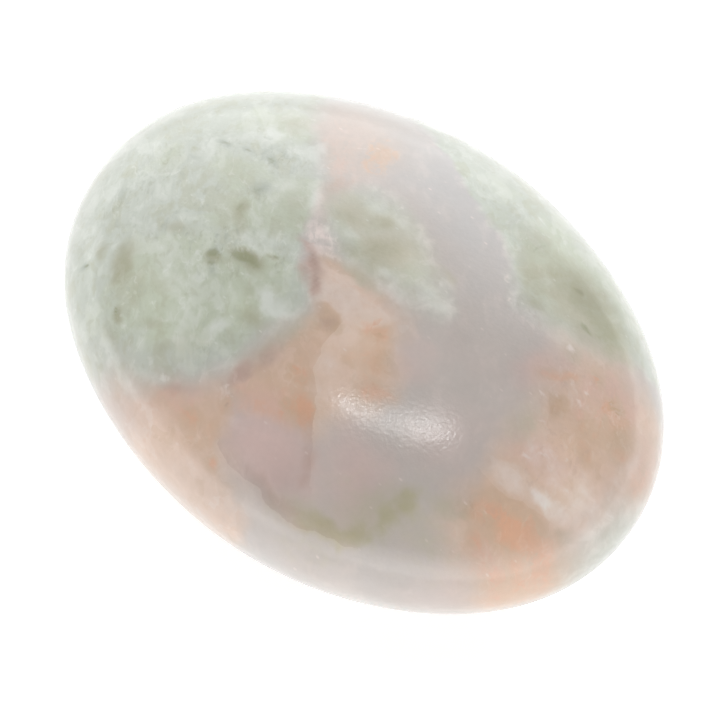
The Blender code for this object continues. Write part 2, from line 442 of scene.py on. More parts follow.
MILK_CLOUDS = (
    (-4.2, -7.3, 2, 0.9, -12, 1), (-2.1, -6.2, 0.7, 1.5, 0, 0.55), (-6.9, -12, 0.8, 1.2, 0, 0.9),
    (-7.4, -18.7, 1.2, 0.5, 35, 0.5), (-18.6, 7.8, 1.2, 0.7, 0, 0.9), (-13.8, 8, 1.8, 1.3, 0, 0.7),
    (-19.2, 6.6, 1.8, 1.2, 0, 0.6), (-14, -11.5, 3.2, 1.6, -10, 0.5),
    (-17, -9.2, 2.8, 1.1, 0, 0.45), (-11, -3.7, 1.4, 0.6, -20, 0.65), (-10, -2.2, 1.3, 1.4, 0, 0.5),
    (-22.4, 2, 1.2, 1.8, 0, 0.5), (-26, -11.5, 3.4, 2, -45, 0.45), (-9.2, 4, 0.6, 2, 32, 0.8),
    (-6.2, 1.2, 1.5, 0.6, 0, 0.45), (-4.4, 3.2, 1.4, 0.8, 0, 0.5), (1.6, 2, 1.4, 0.7, 0, 0.6),
    (3.2, 1, 1.8, 0.8, 0, 0.75), (6.7, 3.3, 1.7, 1.3, 0, 0.7), (1.6, 7.6, 1.5, 0.8, -30, 0.5),
    (-4.6, 7.4, 1.6, 1, 10, 0.5), (-1, 7.8, 1.8, 0.8, -20, 0.5), (26.6, -4.3, 1.6, 0.6, 10, 0.9),
    (24.4, -4.7, 3, 1, 5, 0.4), (28.2, -3.8, 1.4, 1.1, 0, 0.7), (25, -1.4, 3, 2, 0, 0.45),
    (28.6, -1.6, 2.4, 2.4, 0, 0.45), (0.6, -2.9, 2.2, 1.2, 0, 0.35),
    (7.8, -10.6, 1.6, 0.6, 10, 0.5), (4, -8.4, 1.2, 1, 0, 0.5), (11.6, 9.2, 1.6, 0.7, -48, 0.5),
    (8.4, 12.4, 2.6, 0.7, -46, 0.45), (1, -17.8, 1.8, 0.6, 0, 0.3), (4, 17.5, 6, 2.2, -10, 0.25),
    (-5.4, -0.2, 1.1, 0.6, 0, 0.7), (-12.6, 3.2, 1.4, 1.6, 0, 0.6), (-10, -14, 2.4, 2, 0, 0.4),
    (-8, -9.8, 1.4, 1.2, 0, 0.5),
)
KHAKI_STAINS = (
    (-5.6, 5.2, 3.2, 2, -10, 0.9), (-0.4, 4.2, 2.6, 3, 0, 1), (-2.6, 6.4, 2, 1.2, 0, 0.7),
    (3, 1.9, 3, 1, -8, 0.25), (0.4, 0.2, 3.4, 0.8, 0, 0.7), (-9, 5.6, 1.2, 2, 20, 0.5),
    (21.2, -0.4, 1.6, 2.4, 0, 0.55), (27.4, 12.6, 2.6, 1.6, -20, 0.3),
    (20.8, -11.2, 2, 1.2, 20, 0.7), (19.4, 8.8, 1.4, 1, 0, 0.6), (-1.2, -9, 1.1, 4.6, -8, 0.6),
    (16.4, -15.6, 4.4, 2.8, 42, 0.7), (11.5, -19.8, 4.4, 1.2, 12, 0.7),
    (18.6, -11.8, 2.4, 2.4, 0, 0.4), (21, -13.8, 3.6, 2.2, 0, 0.6), (11.5, 13.4, 4, 2.4, -40, 0.55),
    (8, 16.4, 2, 2, 0, 0.45), (13.2, -21.2, 2.8, 0.7, 18, 0.5), (16.2, 13.2, 4.2, 2.4, -25, 0.95),
    (18.6, 11.8, 2.4, 1.5, -35, 0.9), (17, 15.6, 2.6, 1.8, -30, 0.6),
    (19.4, 13.2, 3, 1.8, -25, 0.6), (-8, -15.5, 2.4, 3, -20, 0.35),
)
OCHRE_STAINS = (
    (1, -5.2, 1.5, 1, 0, 0.75), (5.2, -3.2, 0.8, 0.7, 0, 0.4), (7.2, -5.2, 0.9, 0.8, 0, 0.5),
    (8.7, -6.8, 0.9, 0.8, 0, 0.4), (22, 3.7, 0.9, 1.3, 10, 0.5), (26.4, 1.8, 0.8, 1.2, 0, 0.4),
    (0.4, -7.6, 1.6, 1.8, 0, 0.35), (30, -4.6, 0.6, 0.9, 0, 0.8), (27.8, 6, 1.4, 1.7, -30, 0.7),
    (25.4, 7.9, 1, 0.8, -40, 0.45), (0.6, -11, 1.4, 2, 0, 0.3), (22, -9.6, 1, 1.2, 0, 0.5),
    (8, -4.6, 1.4, 0.9, 0, 0.5), (-0.6, 0.3, 1.2, 0.5, 0, 0.6),
)
SALMON_STAINS = (
    (2.4, -15.4, 3.4, 1.8, -5, 1), (25, 9.2, 2.8, 1.8, -20, 0.95), (30.6, 6.8, 2, 3.4, 0, 0.7),
    (23.4, 7.4, 2, 1.6, 0, 0.8), (26, -16.4, 3, 1.6, 0, 0.35), (-0.4, -13, 1, 2.4, 0, 0.3),
    (23.6, 6.2, 2.4, 2, 0, 0.5), (24, -1.5, 3.6, 1.8, 0, 0.6), (-11.5, 9.4, 3, 2.2, -40, 0.5),
    (-14.4, 13.2, 2.4, 2, -40, 0.25), (-5, -18.8, 3.6, 1.4, 20, 0.6), (26.8, -11.6, 2, 1.4, 0, 0.5),
    (19.8, 7, 1.8, 2.2, 0, 0.8), (28.8, 8, 1.6, 1, 0, 0.5), (-13, -21.4, 3, 1, 0, 0.3),
)
ROSE_STAINS = (
    (-4.4, -1.6, 1.6, 0.6, -42, 1), (-4.6, -3, 1.3, 0.6, -48, 0.8),
    (-6.4, -0.6, 1.3, 0.35, -12, 0.75), (-2.8, -3.2, 1.5, 0.6, -48, 0.9),
    (-1.9, -14.2, 0.8, 1.6, 0, 0.85), (-0.9, -11.6, 1, 2.6, 0, 0.55),
    (-3.4, -2.4, 1.4, 0.8, -48, 0.55), (-6.2, -18.8, 2.2, 0.6, 28, 0.6),
    (9, -20.4, 2.6, 0.7, 0, 0.6), (8.8, -16.4, 0.8, 2.6, 32, 0.6), (7, -20.2, 2.6, 0.6, -4, 0.5),
    (-9.2, 6.4, 1.2, 1.8, 20, 0.45), (1, -5.1, 1.1, 0.9, 0, 0.6), (23.6, 10.4, 3.4, 1.6, -20, 0.35),
)
TEAL_SPECKS = (
    (-21.4, 3.5, 0.8, 0.45, 0, 0.9), (-19, 4.3, 0.8, 0.4, 0, 0.75), (-16.2, 4.8, 0.9, 0.6, 0, 0.95),
    (-15.6, 6.3, 1.2, 0.4, 0, 0.75), (-17.4, 5.2, 0.6, 1, 20, 0.6), (-14.3, 1.6, 1, 0.9, 0, 0.85),
    (-22.8, 0.4, 0.8, 0.5, 0, 0.5), (-25.2, -7, 1.6, 0.7, -50, 0.6),
    (-26.4, -2, 1.6, 0.7, -40, 0.4), (-11.6, -8.2, 1.2, 0.5, -20, 0.6),
    (-12.6, -6.4, 0.8, 0.7, 0, 0.6), (-23.4, -14.3, 0.5, 0.4, 0, 0.9),
)
# Where a body thins out and its border is soft
HAZE = (
    (0, 5, 6.5, 4.5, -15, 1), (6, 3, 4, 3, -20, 1), (14, 9.5, 5, 2.5, 0, 0.8),
    (20, 11, 5, 2.5, 20, 0.8), (-17, 13.5, 3, 5, -35, 0.8), (-12, 8.5, 3.5, 2.5, -40, 0.7),
    (18.5, 7.5, 3, 4, 0, 0.9), (19.8, 0, 2.5, 5, 0, 0.8), (20.5, -10, 2.5, 4, 0, 0.8),
    (9, -8, 2.5, 5, 0, 0.6), (-3.5, -15, 2, 3, -30, 0.7), (-12, -20.5, 6, 2, 0, 0.7),
    (-2, -9, 1.5, 4, 0, 0.5), (6, -0.5, 3, 2, 0, 0.8), (5, -20.5, 5, 2, 0, 0.5),
    (-0.5, -24, 5, 1.3, 0, 1), (-10, -22.6, 3.6, 1.4, 0, 1), (25, -15, 4, 3, 0, 1),
    (0, -2.5, 2.4, 1.6, 0, 0.8), (31, -3, 2.5, 9, 0, 1), (-2, -9, 2, 4.6, -8, 0.9),
    (-6, -18, 5, 2, 20, 0.7), (30, 7, 3, 4, 0, 0.9), (24, 12, 4, 2, -30, 0.8),
)
# Where the green turns from mint to the yellow of ferns
FERN_CLOUDS = (
    (-13, -11.5, 6, 5, 30, 1), (-10.5, 2, 3, 3.5, 0, 0.9), (-18, 10, 5, 2.5, 35, 0.6),
    (-17.5, 1.5, 4, 3, 0, 0.6), (-14, -2, 4, 3, 0, 0.7), (-8, -9, 5, 5, 0, 0.8),
    (-24.5, -1, 4, 2, -45, 0.4), (15, 14, 10, 5, -20, 0.8), (0, 5.5, 6, 4, 0, 0.8),
)
# Small marks with crisp edges, dark ones and white ones
DARK_MARKS = (
    (-9.9, -5.4, 1.6, 0.62, 3, 0.9), (-12.7, -7, 0.7, 0.5, 40, 0.9), (-12.2, -8, 0.5, 0.3, 0, 0.8),
    (-21.4, 3.6, 0.6, 0.22, 30, 0.8), (-19, 4.3, 0.5, 0.2, 20, 0.75),
    (-16.2, 4.8, 0.6, 0.35, 10, 0.8), (-15.4, 5.8, 0.9, 0.2, -30, 0.7),
    (-14.4, 1.4, 0.7, 0.5, 0, 0.6), (-7.9, -3.4, 0.7, 0.2, 10, 0.85),
    (-23.4, -14.2, 0.28, 0.22, 0, 1), (-17, -16.2, 0.7, 0.22, -30, 0.8),
    (-14.6, -1.3, 0.8, 0.4, -60, 0.6), (-4.7, -1.3, 1.6, 0.55, -48, 0.6),
    (-3, -3, 1.3, 0.5, -48, 0.5), (15.2, 15, 0.8, 0.4, 10, 0.8), (-5.6, -0.6, 0.8, 0.2, -20, 0.4),
    (28.6, 5, 0.6, 0.7, -25, 0.4), (25.6, 8.6, 0.5, 0.5, 0, 0.4), (18.3, 12, 0.8, 0.3, -20, 0.7),
    (9, 15.4, 0.3, 1.2, 0, 0.6), (-1, -17.2, 0.4, 0.3, 0, 0.6),
)
WHITE_MARKS = (
    (-4.9, -7.3, 0.9, 0.5, -30, 1), (-3.7, -7.8, 0.9, 0.55, 10, 1),
    (-2.5, -7.1, 0.9, 0.35, 50, 0.8), (-2, -5.8, 0.3, 1, 0, 0.6), (-18.8, 7.8, 0.6, 0.3, 0, 0.9),
    (-12, -4.8, 0.4, 0.2, 0, 0.8), (-11, -4.5, 0.35, 0.2, 0, 0.8), (-13.2, -4.9, 0.3, 0.2, 0, 0.7),
    (-7, -12, 0.4, 0.6, 0, 0.8), (-7.6, -18.6, 0.8, 0.3, 35, 0.8), (-5.6, 1.3, 1.2, 0.34, 20, 0.65),
    (-4.9, 0.5, 1, 0.34, 5, 0.6), (-6.8, 0.5, 0.8, 0.34, -20, 0.6), (-3.4, 0.1, 1.2, 0.34, 0, 0.65),
    (-6, 2.1, 1.1, 0.32, 10, 0.55), (-2.2, -0.7, 0.2, 0.2, 0, 1), (-2, -15.8, 0.25, 0.2, 0, 1),
    (-1, -16.3, 0.3, 0.15, 0, 0.8), (-1.8, -2.6, 0.2, 1.2, 20, 0.5), (20.4, 3.4, 0.35, 0.25, 0, 1),
    (22, 1.6, 0.4, 0.2, 30, 0.8), (23, 5.5, 0.4, 0.3, 0, 0.65), (22.9, 6.6, 0.3, 0.2, 0, 0.8),
    (18.6, 9, 0.5, 0.15, -20, 0.8), (23.4, -2.2, 0.5, 0.25, 30, 0.9), (24.3, -1, 0.5, 0.2, 40, 0.8),
    (27.8, -1.5, 0.5, 0.25, 0, 0.8), (25.6, 0.3, 0.4, 0.2, 0, 0.8),
    (26.9, -4.5, 1.4, 0.45, 10, 0.55), (22.8, -13.5, 0.3, 0.15, 0, 0.9),
    (11.7, 8.6, 0.5, 0.15, -45, 1), (9.7, 10.2, 0.7, 0.15, -50, 0.9), (7.6, 15.5, 0.2, 0.8, 0, 0.6),
    (-9.4, 13.2, 0.6, 0.3, 0, 0.6), (-10.8, 12, 0.5, 0.2, 30, 0.7), (15, 5, 0.5, 0.25, 0, 0.4),
    (11.8, 4.4, 0.4, 0.3, 0, 0.45),
)
# Where the green is broken into crumbs
CRUMBS = (
    (-16, 5.3, 3, 2, 0, 1), (-20.5, 3.6, 3, 1.4, 10, 0.7), (-14.2, 1.6, 1.8, 1.6, 0, 0.7),
    (-24.6, -6.5, 4.4, 3, -40, 0.9), (-24, -2.2, 3.6, 2.4, -40, 0.7), (-18, -7, 3.2, 1.9, 0, 0.9),
    (-12.4, -5.8, 3.4, 3, -60, 1), (-8.4, -3.8, 2.8, 1.2, 10, 0.9), (-18.6, -3, 4, 2.4, 0, 0.6),
    (-16, -15.8, 3.8, 2, -40, 0.6), (-6.6, -13, 2, 3, 0, 0.6), (-5.6, 1, 2.8, 1.4, -8, 1),
    (-2, -16, 1, 1, 0, 0.9), (13, 9, 2.4, 1, -30, 0.7), (24.5, 1, 3.4, 3.6, 0, 0.6),
    (21.4, 6.4, 2.6, 2.6, 0, 0.7), (25.6, 7.2, 3, 1.6, -30, 0.6), (26, -3.6, 3.4, 1.6, 10, 0.5),
    (20, 5.4, 1.6, 1.4, 0, 0.5), (25, -8.4, 3.4, 2, 0, 0.35), (0.4, -8, 3, 5, 0, 0.25),
    (5.4, -20.4, 4, 0.8, 0, 0.5), (-14, -19.6, 3, 1.2, -20, 0.5),
)
# Where the stone is cloudier and so paler, and where it is clearer and so deeper
CLOUDY = (
    (3.2, 4.5, 2.6, 1.5, 0, 0.8), (28.4, -2, 2.4, 2.6, 0, 1), (25.2, 0.9, 1.8, 1.6, 0, 0.5),
    (19, -21, 4.4, 1.3, 10, 0.5), (16, -21, 3, 1.4, 0, 0.3), (-11.3, -15.6, 1.8, 1.6, 0, 0.5),
    (27, -8, 4, 2.6, 0, 0.55), (25.2, -4.8, 2.8, 1.2, 8, 0.3), (-13.4, -13.4, 4.4, 2.6, 0, 0.5),
    (-6.4, -9.6, 2, 1.4, 0, 0.6), (28, -4.6, 1.6, 1, 0, 0.4), (20.8, -13, 3, 2, 0, 0.4),
    (5.4, -4.8, 3.4, 2.4, 0, 0.4), (28, 3, 3, 3, 0, 0.2), (27.4, -4.1, 1.6, 1, 0, 1),
    (-22.6, -14, 1.6, 2, 0, 0.5), (26, -6.6, 2, 1.2, 0, 0.4), (-11.6, -4.9, 1.4, 0.8, 0, 0.4),
    (-16, -1.6, 1.6, 1.2, 0, 0.3), (10, -1, 2, 3, 0, 0.2),
)
CLEAR = (
    (7.6, -20.9, 3.2, 0.8, 0, 0.8), (7.8, -18.8, 1.9, 1.2, 0, 0.6),
    (13.6, -20.6, 3.2, 0.8, 15, 0.6), (14.5, -14.8, 2.6, 2.6, 0, 0.4), (18.6, 11.2, 3, 1.6, 0, 0.6),
    (16.4, 15.4, 3.4, 2.2, -20, 0.9), (21, 4.9, 2.4, 2.4, 0, 0.6), (22.6, 8.6, 3, 1.8, 0, 0.6),
    (-14.1, 9.5, 1.4, 1.3, 0, 0.6), (6.6, 16.6, 3, 1.6, -10, 0.8), (-3.3, -2.3, 1.3, 0.8, -48, 0.7),
    (-1.3, -12.2, 1.4, 1.6, 0, 0.5), (-10, -22.4, 4, 1.4, 0, 0.35), (18.4, 5.6, 2.8, 3.2, 0, 0.7),
    (19.8, 8, 1.8, 1.4, 0, 0.7), (-15.1, 14.2, 2, 2, 0, 0.3), (24.4, 11.2, 2.6, 1.5, -30, 0.5),
    (30.4, 4, 1.4, 3, 0, 0.4), (3.4, -22.4, 3.4, 1.4, 0, 0.7), (23.2, 7.6, 2, 1.6, 0, 0.4),
    (11, 2, 1.4, 1.6, 0, 0.3),
)
# How far the clear stone has turned from lilac to pink
BLUSH = (
    (5, -17.4, 8, 4.5, 0, 0.85), (12.5, -14, 7.5, 6, 0, 0.65), (14, 1, 13, 11, 0, 0.4),
    (18, 5, 3, 3.4, 0, 0.7), (-13, 13, 6, 5, 0, 0.5), (24, -14, 9, 8, 0, 0.5),
    (31, -1, 6, 10, 0, 0.5), (-5, 1, 6, 5, 0, 0.4), (-10, -21, 11, 5, 0, 0.6),
    (17, -22, 8, 5, 0, 0.4), (18, -7, 9, 8, 0, 0.55), (18.5, 8, 5, 5, 0, 0.5),
    (22, 13, 6, 3, -25, 0.6), (0, 5, 9, 5, -15, 0.6), (9.5, -3.5, 3.5, 4.5, 0, 0.6),
    (24.5, -17, 5, 3, 0, 0.3),
)

# %% [markdown]
# ## Down through the stone
#
# The polish cuts each body at the skin, and below the skin the body goes on. The photo shows only
# the top, so the sides and the belly are a guess. Drawing the same plan straight down would print
# the top's picture on the belly a second time and stretch it along the sides. So every body leans
# to one side as it goes down, and wanders further the deeper it gets.

# %% Where each point of the skin comes out on the top
# How far a body leans along x and y for each mm of depth
BAND_LEAN = np.array((0.42, -0.3))
# Each push: over how many mm it changes, and how many mm it reaches
WANDER = ((5.0, 0.3), (2.2, 0.4), (1.1, 0.3))
DEEP_WANDER = (9.0, 5.0)
DEEP_BEGINS, DEEP_WHOLE = 3.0, 12.0
# Below its widest line the skin turns back under the stone, so a mm down counts as two of depth
DEPTH_SHARE = 2.0
# This noise starts from the clock, so without a seed of its own the bodies would bend a little
# differently on each run
WANDER_SEED = 4


def wander(mm, size):
    """A smooth sideways push for every point, between -1 and 1, that changes over size mm."""
    return np.array([noise.noise_vector(place / size)[:2] for place in mm])


def plan_of(places):
    """Where each point of the skin comes out on the top when its body is followed upwards."""
    mm = places / MM
    depth = np.maximum(0.0, DEPTH_SHARE * (STONE_MIDDLE.z / MM - mm[:, 2]))
    plan = mm[:, :2] + depth[:, None] * BAND_LEAN
    for size, reach in WANDER:
        plan = plan + reach * wander(mm, size)
    size, reach = DEEP_WANDER
    deep = np.clip((depth - DEEP_BEGINS) / (DEEP_WHOLE - DEEP_BEGINS), 0.0, 1.0)
    return plan + reach * deep[:, None] * wander(mm, size)


noise.seed_set(WANDER_SEED)
plan = plan_of(places)
moved = np.linalg.norm(plan - places[:, :2] / MM, axis=1)
print("a body's way sideways in mm:", moved.mean().round(1), "on average and", moved.max().round(1),
      "at most")

# %% [markdown]
# ## Distances that the mesh keeps
#
# Along the stone, the points of the mesh lie about 0.4 mm apart. A mask stored on them would show
# steps of that size on its border, but a distance changes evenly from point to point, so between
# them nothing is lost. It is measured to the nearest straight piece of an outline. For a line
# that is open, such as a crack, its sign tells left from right, and a second number tells how far
# past either end a point lies.

# %% How far each point lies inside an outline, or from a line
def segment_gap(plan, start, stop):
    """How far every point lies from one straight piece, and on which side of it."""
    side = stop - start
    share = np.clip((plan - start) @ side / (side @ side), 0.0, 1.0)
    away = plan - start - share[:, None] * side
    left = side[0] * away[:, 1] - side[1] * away[:, 0]
    return np.linalg.norm(away, axis=1), np.where(left >= 0.0, 1.0, -1.0)


def inside_distance(plan, corners):
    """How far inside a closed outline each point lies, in mm, and below zero outside it."""
    corners = np.array(corners, dtype=float)
    nearest = np.full(len(plan), np.inf)
    inside = np.zeros(len(plan), dtype=bool)
    for start, stop in zip(corners, np.roll(corners, -1, axis=0)):
        nearest = np.minimum(nearest, segment_gap(plan, start, stop)[0])
        if start[1] != stop[1]:
            passes = (start[1] > plan[:, 1]) != (stop[1] > plan[:, 1])
            share = (plan[:, 1] - start[1]) / (stop[1] - start[1])
            inside ^= passes & (plan[:, 0] < start[0] + share * (stop[0] - start[0]))
    return np.where(inside, nearest, -nearest)


def line_distance(plan, points):
    """The signed distance from an open line, and how far past its ends each point lies."""
    points = np.array(points, dtype=float)
    nearest, side = segment_gap(plan, points[0], points[1])
    for start, stop in zip(points[1:-1], points[2:]):
        gap, left = segment_gap(plan, start, stop)
        side = np.where(gap < nearest, left, side)
        nearest = np.minimum(gap, nearest)
    past = np.zeros(len(plan))
    for end, before in ((points[0], points[1]), (points[-1], points[-2])):
        outward = (end - before) / np.linalg.norm(end - before)
        past = np.maximum(past, (plan - end) @ outward)
    return nearest * side, past


# %% Storing the distances on the mesh
BODIES = {
    "green": (WEST_GREEN, MIDDLE_GREEN, EAST_GREEN, END_GREEN),
    "peach": (MIDDLE_PEACH, EAST_PEACH, RIM_PEACH),
    "pink": (PINK_PATCH,),
    "cream": CREAM_CRYSTALS,
    "tan": TAN_CRYSTALS,
}
LINES = {
    "healed_crack": HEALED_CRACK, "crack_tail": CRACK_TAIL, "lower_crack": LOWER_CRACK,
    "milk_vein": MILK_VEIN, "east_crack": EAST_CRACK, "olive_line": OLIVE_LINE,
}


def keep(mesh, name, values):
    """Store one number for every point of the mesh under a name."""
    made = mesh.attributes.new(name, "FLOAT", "POINT")
    made.data.foreach_set("value", values.astype(np.float32))


for name, outlines in BODIES.items():
    distance = np.max([inside_distance(plan, corners) for corners in outlines], axis=0)
    keep(stone.data, name, distance)
    print(name, "covers", round(100.0 * float((distance > 0.0).mean())), "% of the points")
for name, points in LINES.items():
    distance, past = line_distance(plan, points)
    keep(stone.data, name, distance)
    keep(stone.data, name + "_past", past)

# %% [markdown]
# ## The side that the photo doesn't show
#
# The room's light, made further down, is fitted to the photo, and it is brightest behind the
# stone. The photo's camera sees only a thin rim of the skin that this light falls on. From behind,
# the same skin would look bleached. A second set of lamps for each view would be no help, because
# the finished piece carries only its own colours to wherever it is used. So the skin that faces
# away from the photo's camera gets painted shade: a slightly deeper colour, through one more stored
# number.

# %% Painted shade: how far the skin faces away from the photo's camera
PAINTED_SHADE_BEGINS, PAINTED_SHADE_WHOLE = 0.0, -0.4
normals = np.empty(len(stone.data.vertices) * 3)
stone.data.vertex_normals.foreach_get("vector", normals)
facing = normals.reshape(-1, 3) @ np.array(to_camera)
# The stored 'away' number is painted shade, which deepens this skin's colour in the material
keep(stone.data, "away", np.clip((facing - PAINTED_SHADE_BEGINS) / (PAINTED_SHADE_WHOLE - PAINTED_SHADE_BEGINS), 0.0, 1.0))
print("skin that faces away from the camera:", round(100.0 * float((facing < 0.0).mean())), "%")

# %% [markdown]
# ## Stains that the mesh keeps
#
# A stain's ellipse becomes a number that is its strength in the middle and falls to nothing
# around it, like heat from an ember. Where stains of one kind overlap, the stronger one counts,
# since the sum of two weak ones would make a third spot that no one has drawn.

# %% Storing the stains
# The amount that is left at the border of a stain's ellipse is e to the power of minus this
STAIN_FALL = 0.7
SPOTS = {
    "orange": ORANGE_STAINS, "olive": OLIVE_STAINS, "milk": MILK_CLOUDS, "rose": ROSE_STAINS,
    "khaki": KHAKI_STAINS, "ochre": OCHRE_STAINS, "salmon": SALMON_STAINS, "teal": TEAL_SPECKS,
    "haze": HAZE, "fern": FERN_CLOUDS, "dark": DARK_MARKS, "white": WHITE_MARKS,
    "crumbs": CRUMBS, "blush": BLUSH, "cloudy": CLOUDY, "clear": CLEAR,
}


def stain_amount(plan, stains):
    """The strongest stain at every point, from 0 to 1."""
    amount = np.zeros(len(plan))
    for x, y, length, width, turn, strength in stains:
        cosine, sine = math.cos(math.radians(turn)), math.sin(math.radians(turn))
        away = plan - (x, y)
        along = (away @ (cosine, sine)) / length
        across = (away @ (-sine, cosine)) / width
        fallen = strength * np.exp(-STAIN_FALL * (along ** 2 + across ** 2))
        amount = np.maximum(amount, fallen)
    return amount


for name, stains in SPOTS.items():
    keep(stone.data, name, stain_amount(plan, stains))
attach(stone, "root")
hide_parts("palm_stone")
print("stains:", sum(len(stains) for stains in SPOTS.values()))

# %% [markdown]
# ## The stone's look
#
# A polished calcite takes light in, scatters it a few millimetres deep and lets it out again, so
# edges look soft and pale. The shine on top is a thin, colourless reflection. The shader therefore
# needs only one thing worked out with care, the colour, and everything else is nearly constant.
#
# The colour is built the way the rock was: the clear lilac stone first, then the peach and green
# bodies over it, then the stains and the cracks that cut through both. Each mineral gets one
# colour here, and every later step only mixes these.

# %% The palette, as linear colours
LILAC = (0.632, 0.603, 0.586, 1.0)
GREY = (0.660, 0.595, 0.555, 1.0)
MAUVE = (0.790, 0.605, 0.560, 1.0)
SAGE = (0.640, 0.672, 0.592, 1.0)
FERN = (0.622, 0.662, 0.530, 1.0)
MOSS = (0.545, 0.555, 0.410, 1.0)
KHAKI = (0.600, 0.555, 0.425, 1.0)
OLIVE = (0.430, 0.415, 0.270, 1.0)
OLIVE_YELLOW = (0.540, 0.495, 0.315, 1.0)
DEEP = (0.330, 0.340, 0.200, 1.0)
TEAL = (0.440, 0.480, 0.410, 1.0)
MILK = (0.810, 0.830, 0.765, 1.0)
PEACH = (0.855, 0.640, 0.515, 1.0)
CREAM = (0.905, 0.755, 0.665, 1.0)
TAN = (0.765, 0.550, 0.400, 1.0)
SALMON = (0.835, 0.575, 0.475, 1.0)
ORANGE = (0.840, 0.500, 0.335, 1.0)
OCHRE = (0.640, 0.465, 0.310, 1.0)
ROSE = (0.610, 0.425, 0.365, 1.0)
RUST = (0.470, 0.310, 0.255, 1.0)
WHITE = (0.945, 0.825, 0.775, 1.0)
# Painted reflection, laid over the rim at grazing angles for the bright room it mirrors
PAINTED_RIM_REFLECTION = (0.800, 0.792, 0.758, 1.0)

# %% [markdown]
# ## Nodes that work on colours
#
# The material needs more short ways to write nodes: mixing two colours, laying a tint over a
# colour, reading a number that the mesh keeps, soft noise measured in millimetres, and a bell
# curve. A ragged edge is nearly always a mixture of several noises, so a mixture is written as a
# list of names and shares, like a recipe for paint, and one helper adds it up. Two more helpers
# make a node group and place it. A group is worth its trouble where one small recipe serves many
# bodies, stains or cracks.

# %% Helpers for colours and textures
def blend(tree, amount, first, second):
    """Mix two colours; amount 0 gives the first and 1 the second."""
    node = add_node(tree, "ShaderNodeMix", {0: amount, 6: first, 7: second},
                    data_type="RGBA", clamp_factor=True)
    return node.outputs[2]


def lay(tree, colour, tint, mask, share):
    """A colour with a tint laid over it through a mask, as strongly as the share says."""
    return blend(tree, times(tree, mask, share), colour, tint)


def stored(tree, name):
    """The number that the mesh keeps under this name."""
    node = add_node(tree, "ShaderNodeAttribute", attribute_name=name, attribute_type="GEOMETRY")
    return node.outputs["Fac"]


def cloud(tree, place, size, detail=3.0, roughness=0.55, distortion=0.0):
    """Soft noise about zero whose largest lumps are this many mm apart."""
    node = add_node(tree, "ShaderNodeTexNoise",
                    {"Vector": place, "Scale": 1.0 / size, "Detail": detail,
                     "Roughness": roughness, "Distortion": distortion})
    return maths(tree, "SUBTRACT", node.outputs["Fac"], 0.5)


def mixed(tree, values, shares):
    """Values times their shares, added up. A name that isn't a value is one that the mesh keeps."""
    result = None
    for name, share in shares.items():
        value = values[name] if name in values else stored(tree, name)
        if result is None:
            result = times(tree, value, share)
        else:
            result = maths(tree, "MULTIPLY_ADD", value, share, result)
    return result


def bell(tree, value, width):
    """1 where the value is zero, falling off smoothly to either side over this width."""
    share = maths(tree, "DIVIDE", value, width)
    return maths(tree, "EXPONENT", times(tree, times(tree, share, share), -1.0))


# %% Helpers that make a group and place it
def make_group(name, inputs, outputs):
    """An empty shader group: numbers and places go in, and only numbers come out."""
    tree = bpy.data.node_groups.new(name, "ShaderNodeTree")
    kinds = {float: "NodeSocketFloat", tuple: "NodeSocketVector"}
    for socket, value in inputs.items():
        made = tree.interface.new_socket(socket, in_out="INPUT", socket_type=kinds[type(value)])
        made.default_value = value
    for socket in outputs:
        tree.interface.new_socket(socket, in_out="OUTPUT", socket_type="NodeSocketFloat")
    given = tree.nodes.new("NodeGroupInput").outputs
    return tree, given, tree.nodes.new("NodeGroupOutput").inputs


def use_group(tree, group, **inputs):
    """Place a group in another tree and return its outputs."""
    named = {name.capitalize(): value for name, value in inputs.items()}
    return add_node(tree, "ShaderNodeGroup", named, node_tree=group).outputs


# %% [markdown]
# ## The edge of a body
#
# Where a coloured body ends, the border is crisp in one place and fades over millimetres in the
# next, and small bays and tongues break it up. A painted mask would settle all of that for good.
# Here noise pushes the stored distance to and fro, which makes the bays, and a softness in
# millimetres sets how wide the fade is. The same distance also gives the ring along the border,
# where the stone has a pale fringe.

# %% A body's mask and its edge, from how far inside its outline a point lies
def body_group():
    """Distance, Ragged, Softness and Fringe in mm; the Mask and the Edge out."""
    tree, given, result = make_group(
        "body_mask", {"Distance": 0.0, "Ragged": 0.0, "Softness": 0.5, "Fringe": 0.5},
        ("Mask", "Edge"))
    distance = maths(tree, "ADD", given["Distance"], given["Ragged"])
    outside = times(tree, given["Softness"], -1.0)
    mask = ramp(tree, distance, outside, given["Softness"], smooth=True)
    tree.links.new(mask, result["Mask"])
    tree.links.new(bell(tree, distance, given["Fringe"]), result["Edge"])
    return tree


def drawn_body(tree, name, ragged, softness, fringe=0.5):
    """The Mask and the Edge of the bodies that the mesh keeps under this name."""
    return use_group(tree, body_mask, distance=stored(tree, name), ragged=ragged,
                     softness=softness, fringe=fringe)


body_mask = body_group()
print("body_mask:", len(body_mask.nodes), "nodes")

# %% [markdown]
# ## The edge of a stain
#
# A stain is strongest in its middle and has no border that could be drawn. Its stored amount falls
# off from the middle, noise is added to it, and two thresholds say where the stain starts and
# where it is full. Far away from every stain the noise alone must not make one, so the mask is cut
# off where the stored amount is nearly nothing.

# %% A stain's mask, from how much of it a point has
NO_STAIN, SOME_STAIN = 0.03, 0.2


def stain_group():
    """Amount, Ragged, Start and Full in; the Mask out."""
    tree, given, result = make_group(
        "stain_mask", {"Amount": 0.0, "Ragged": 0.0, "Start": 0.25, "Full": 0.7}, ("Mask",))
    amount = maths(tree, "ADD", given["Amount"], given["Ragged"])
    mask = ramp(tree, amount, given["Start"], given["Full"], smooth=True)
    near = ramp(tree, given["Amount"], NO_STAIN, SOME_STAIN)
    tree.links.new(times(tree, mask, near), result["Mask"])
    return tree


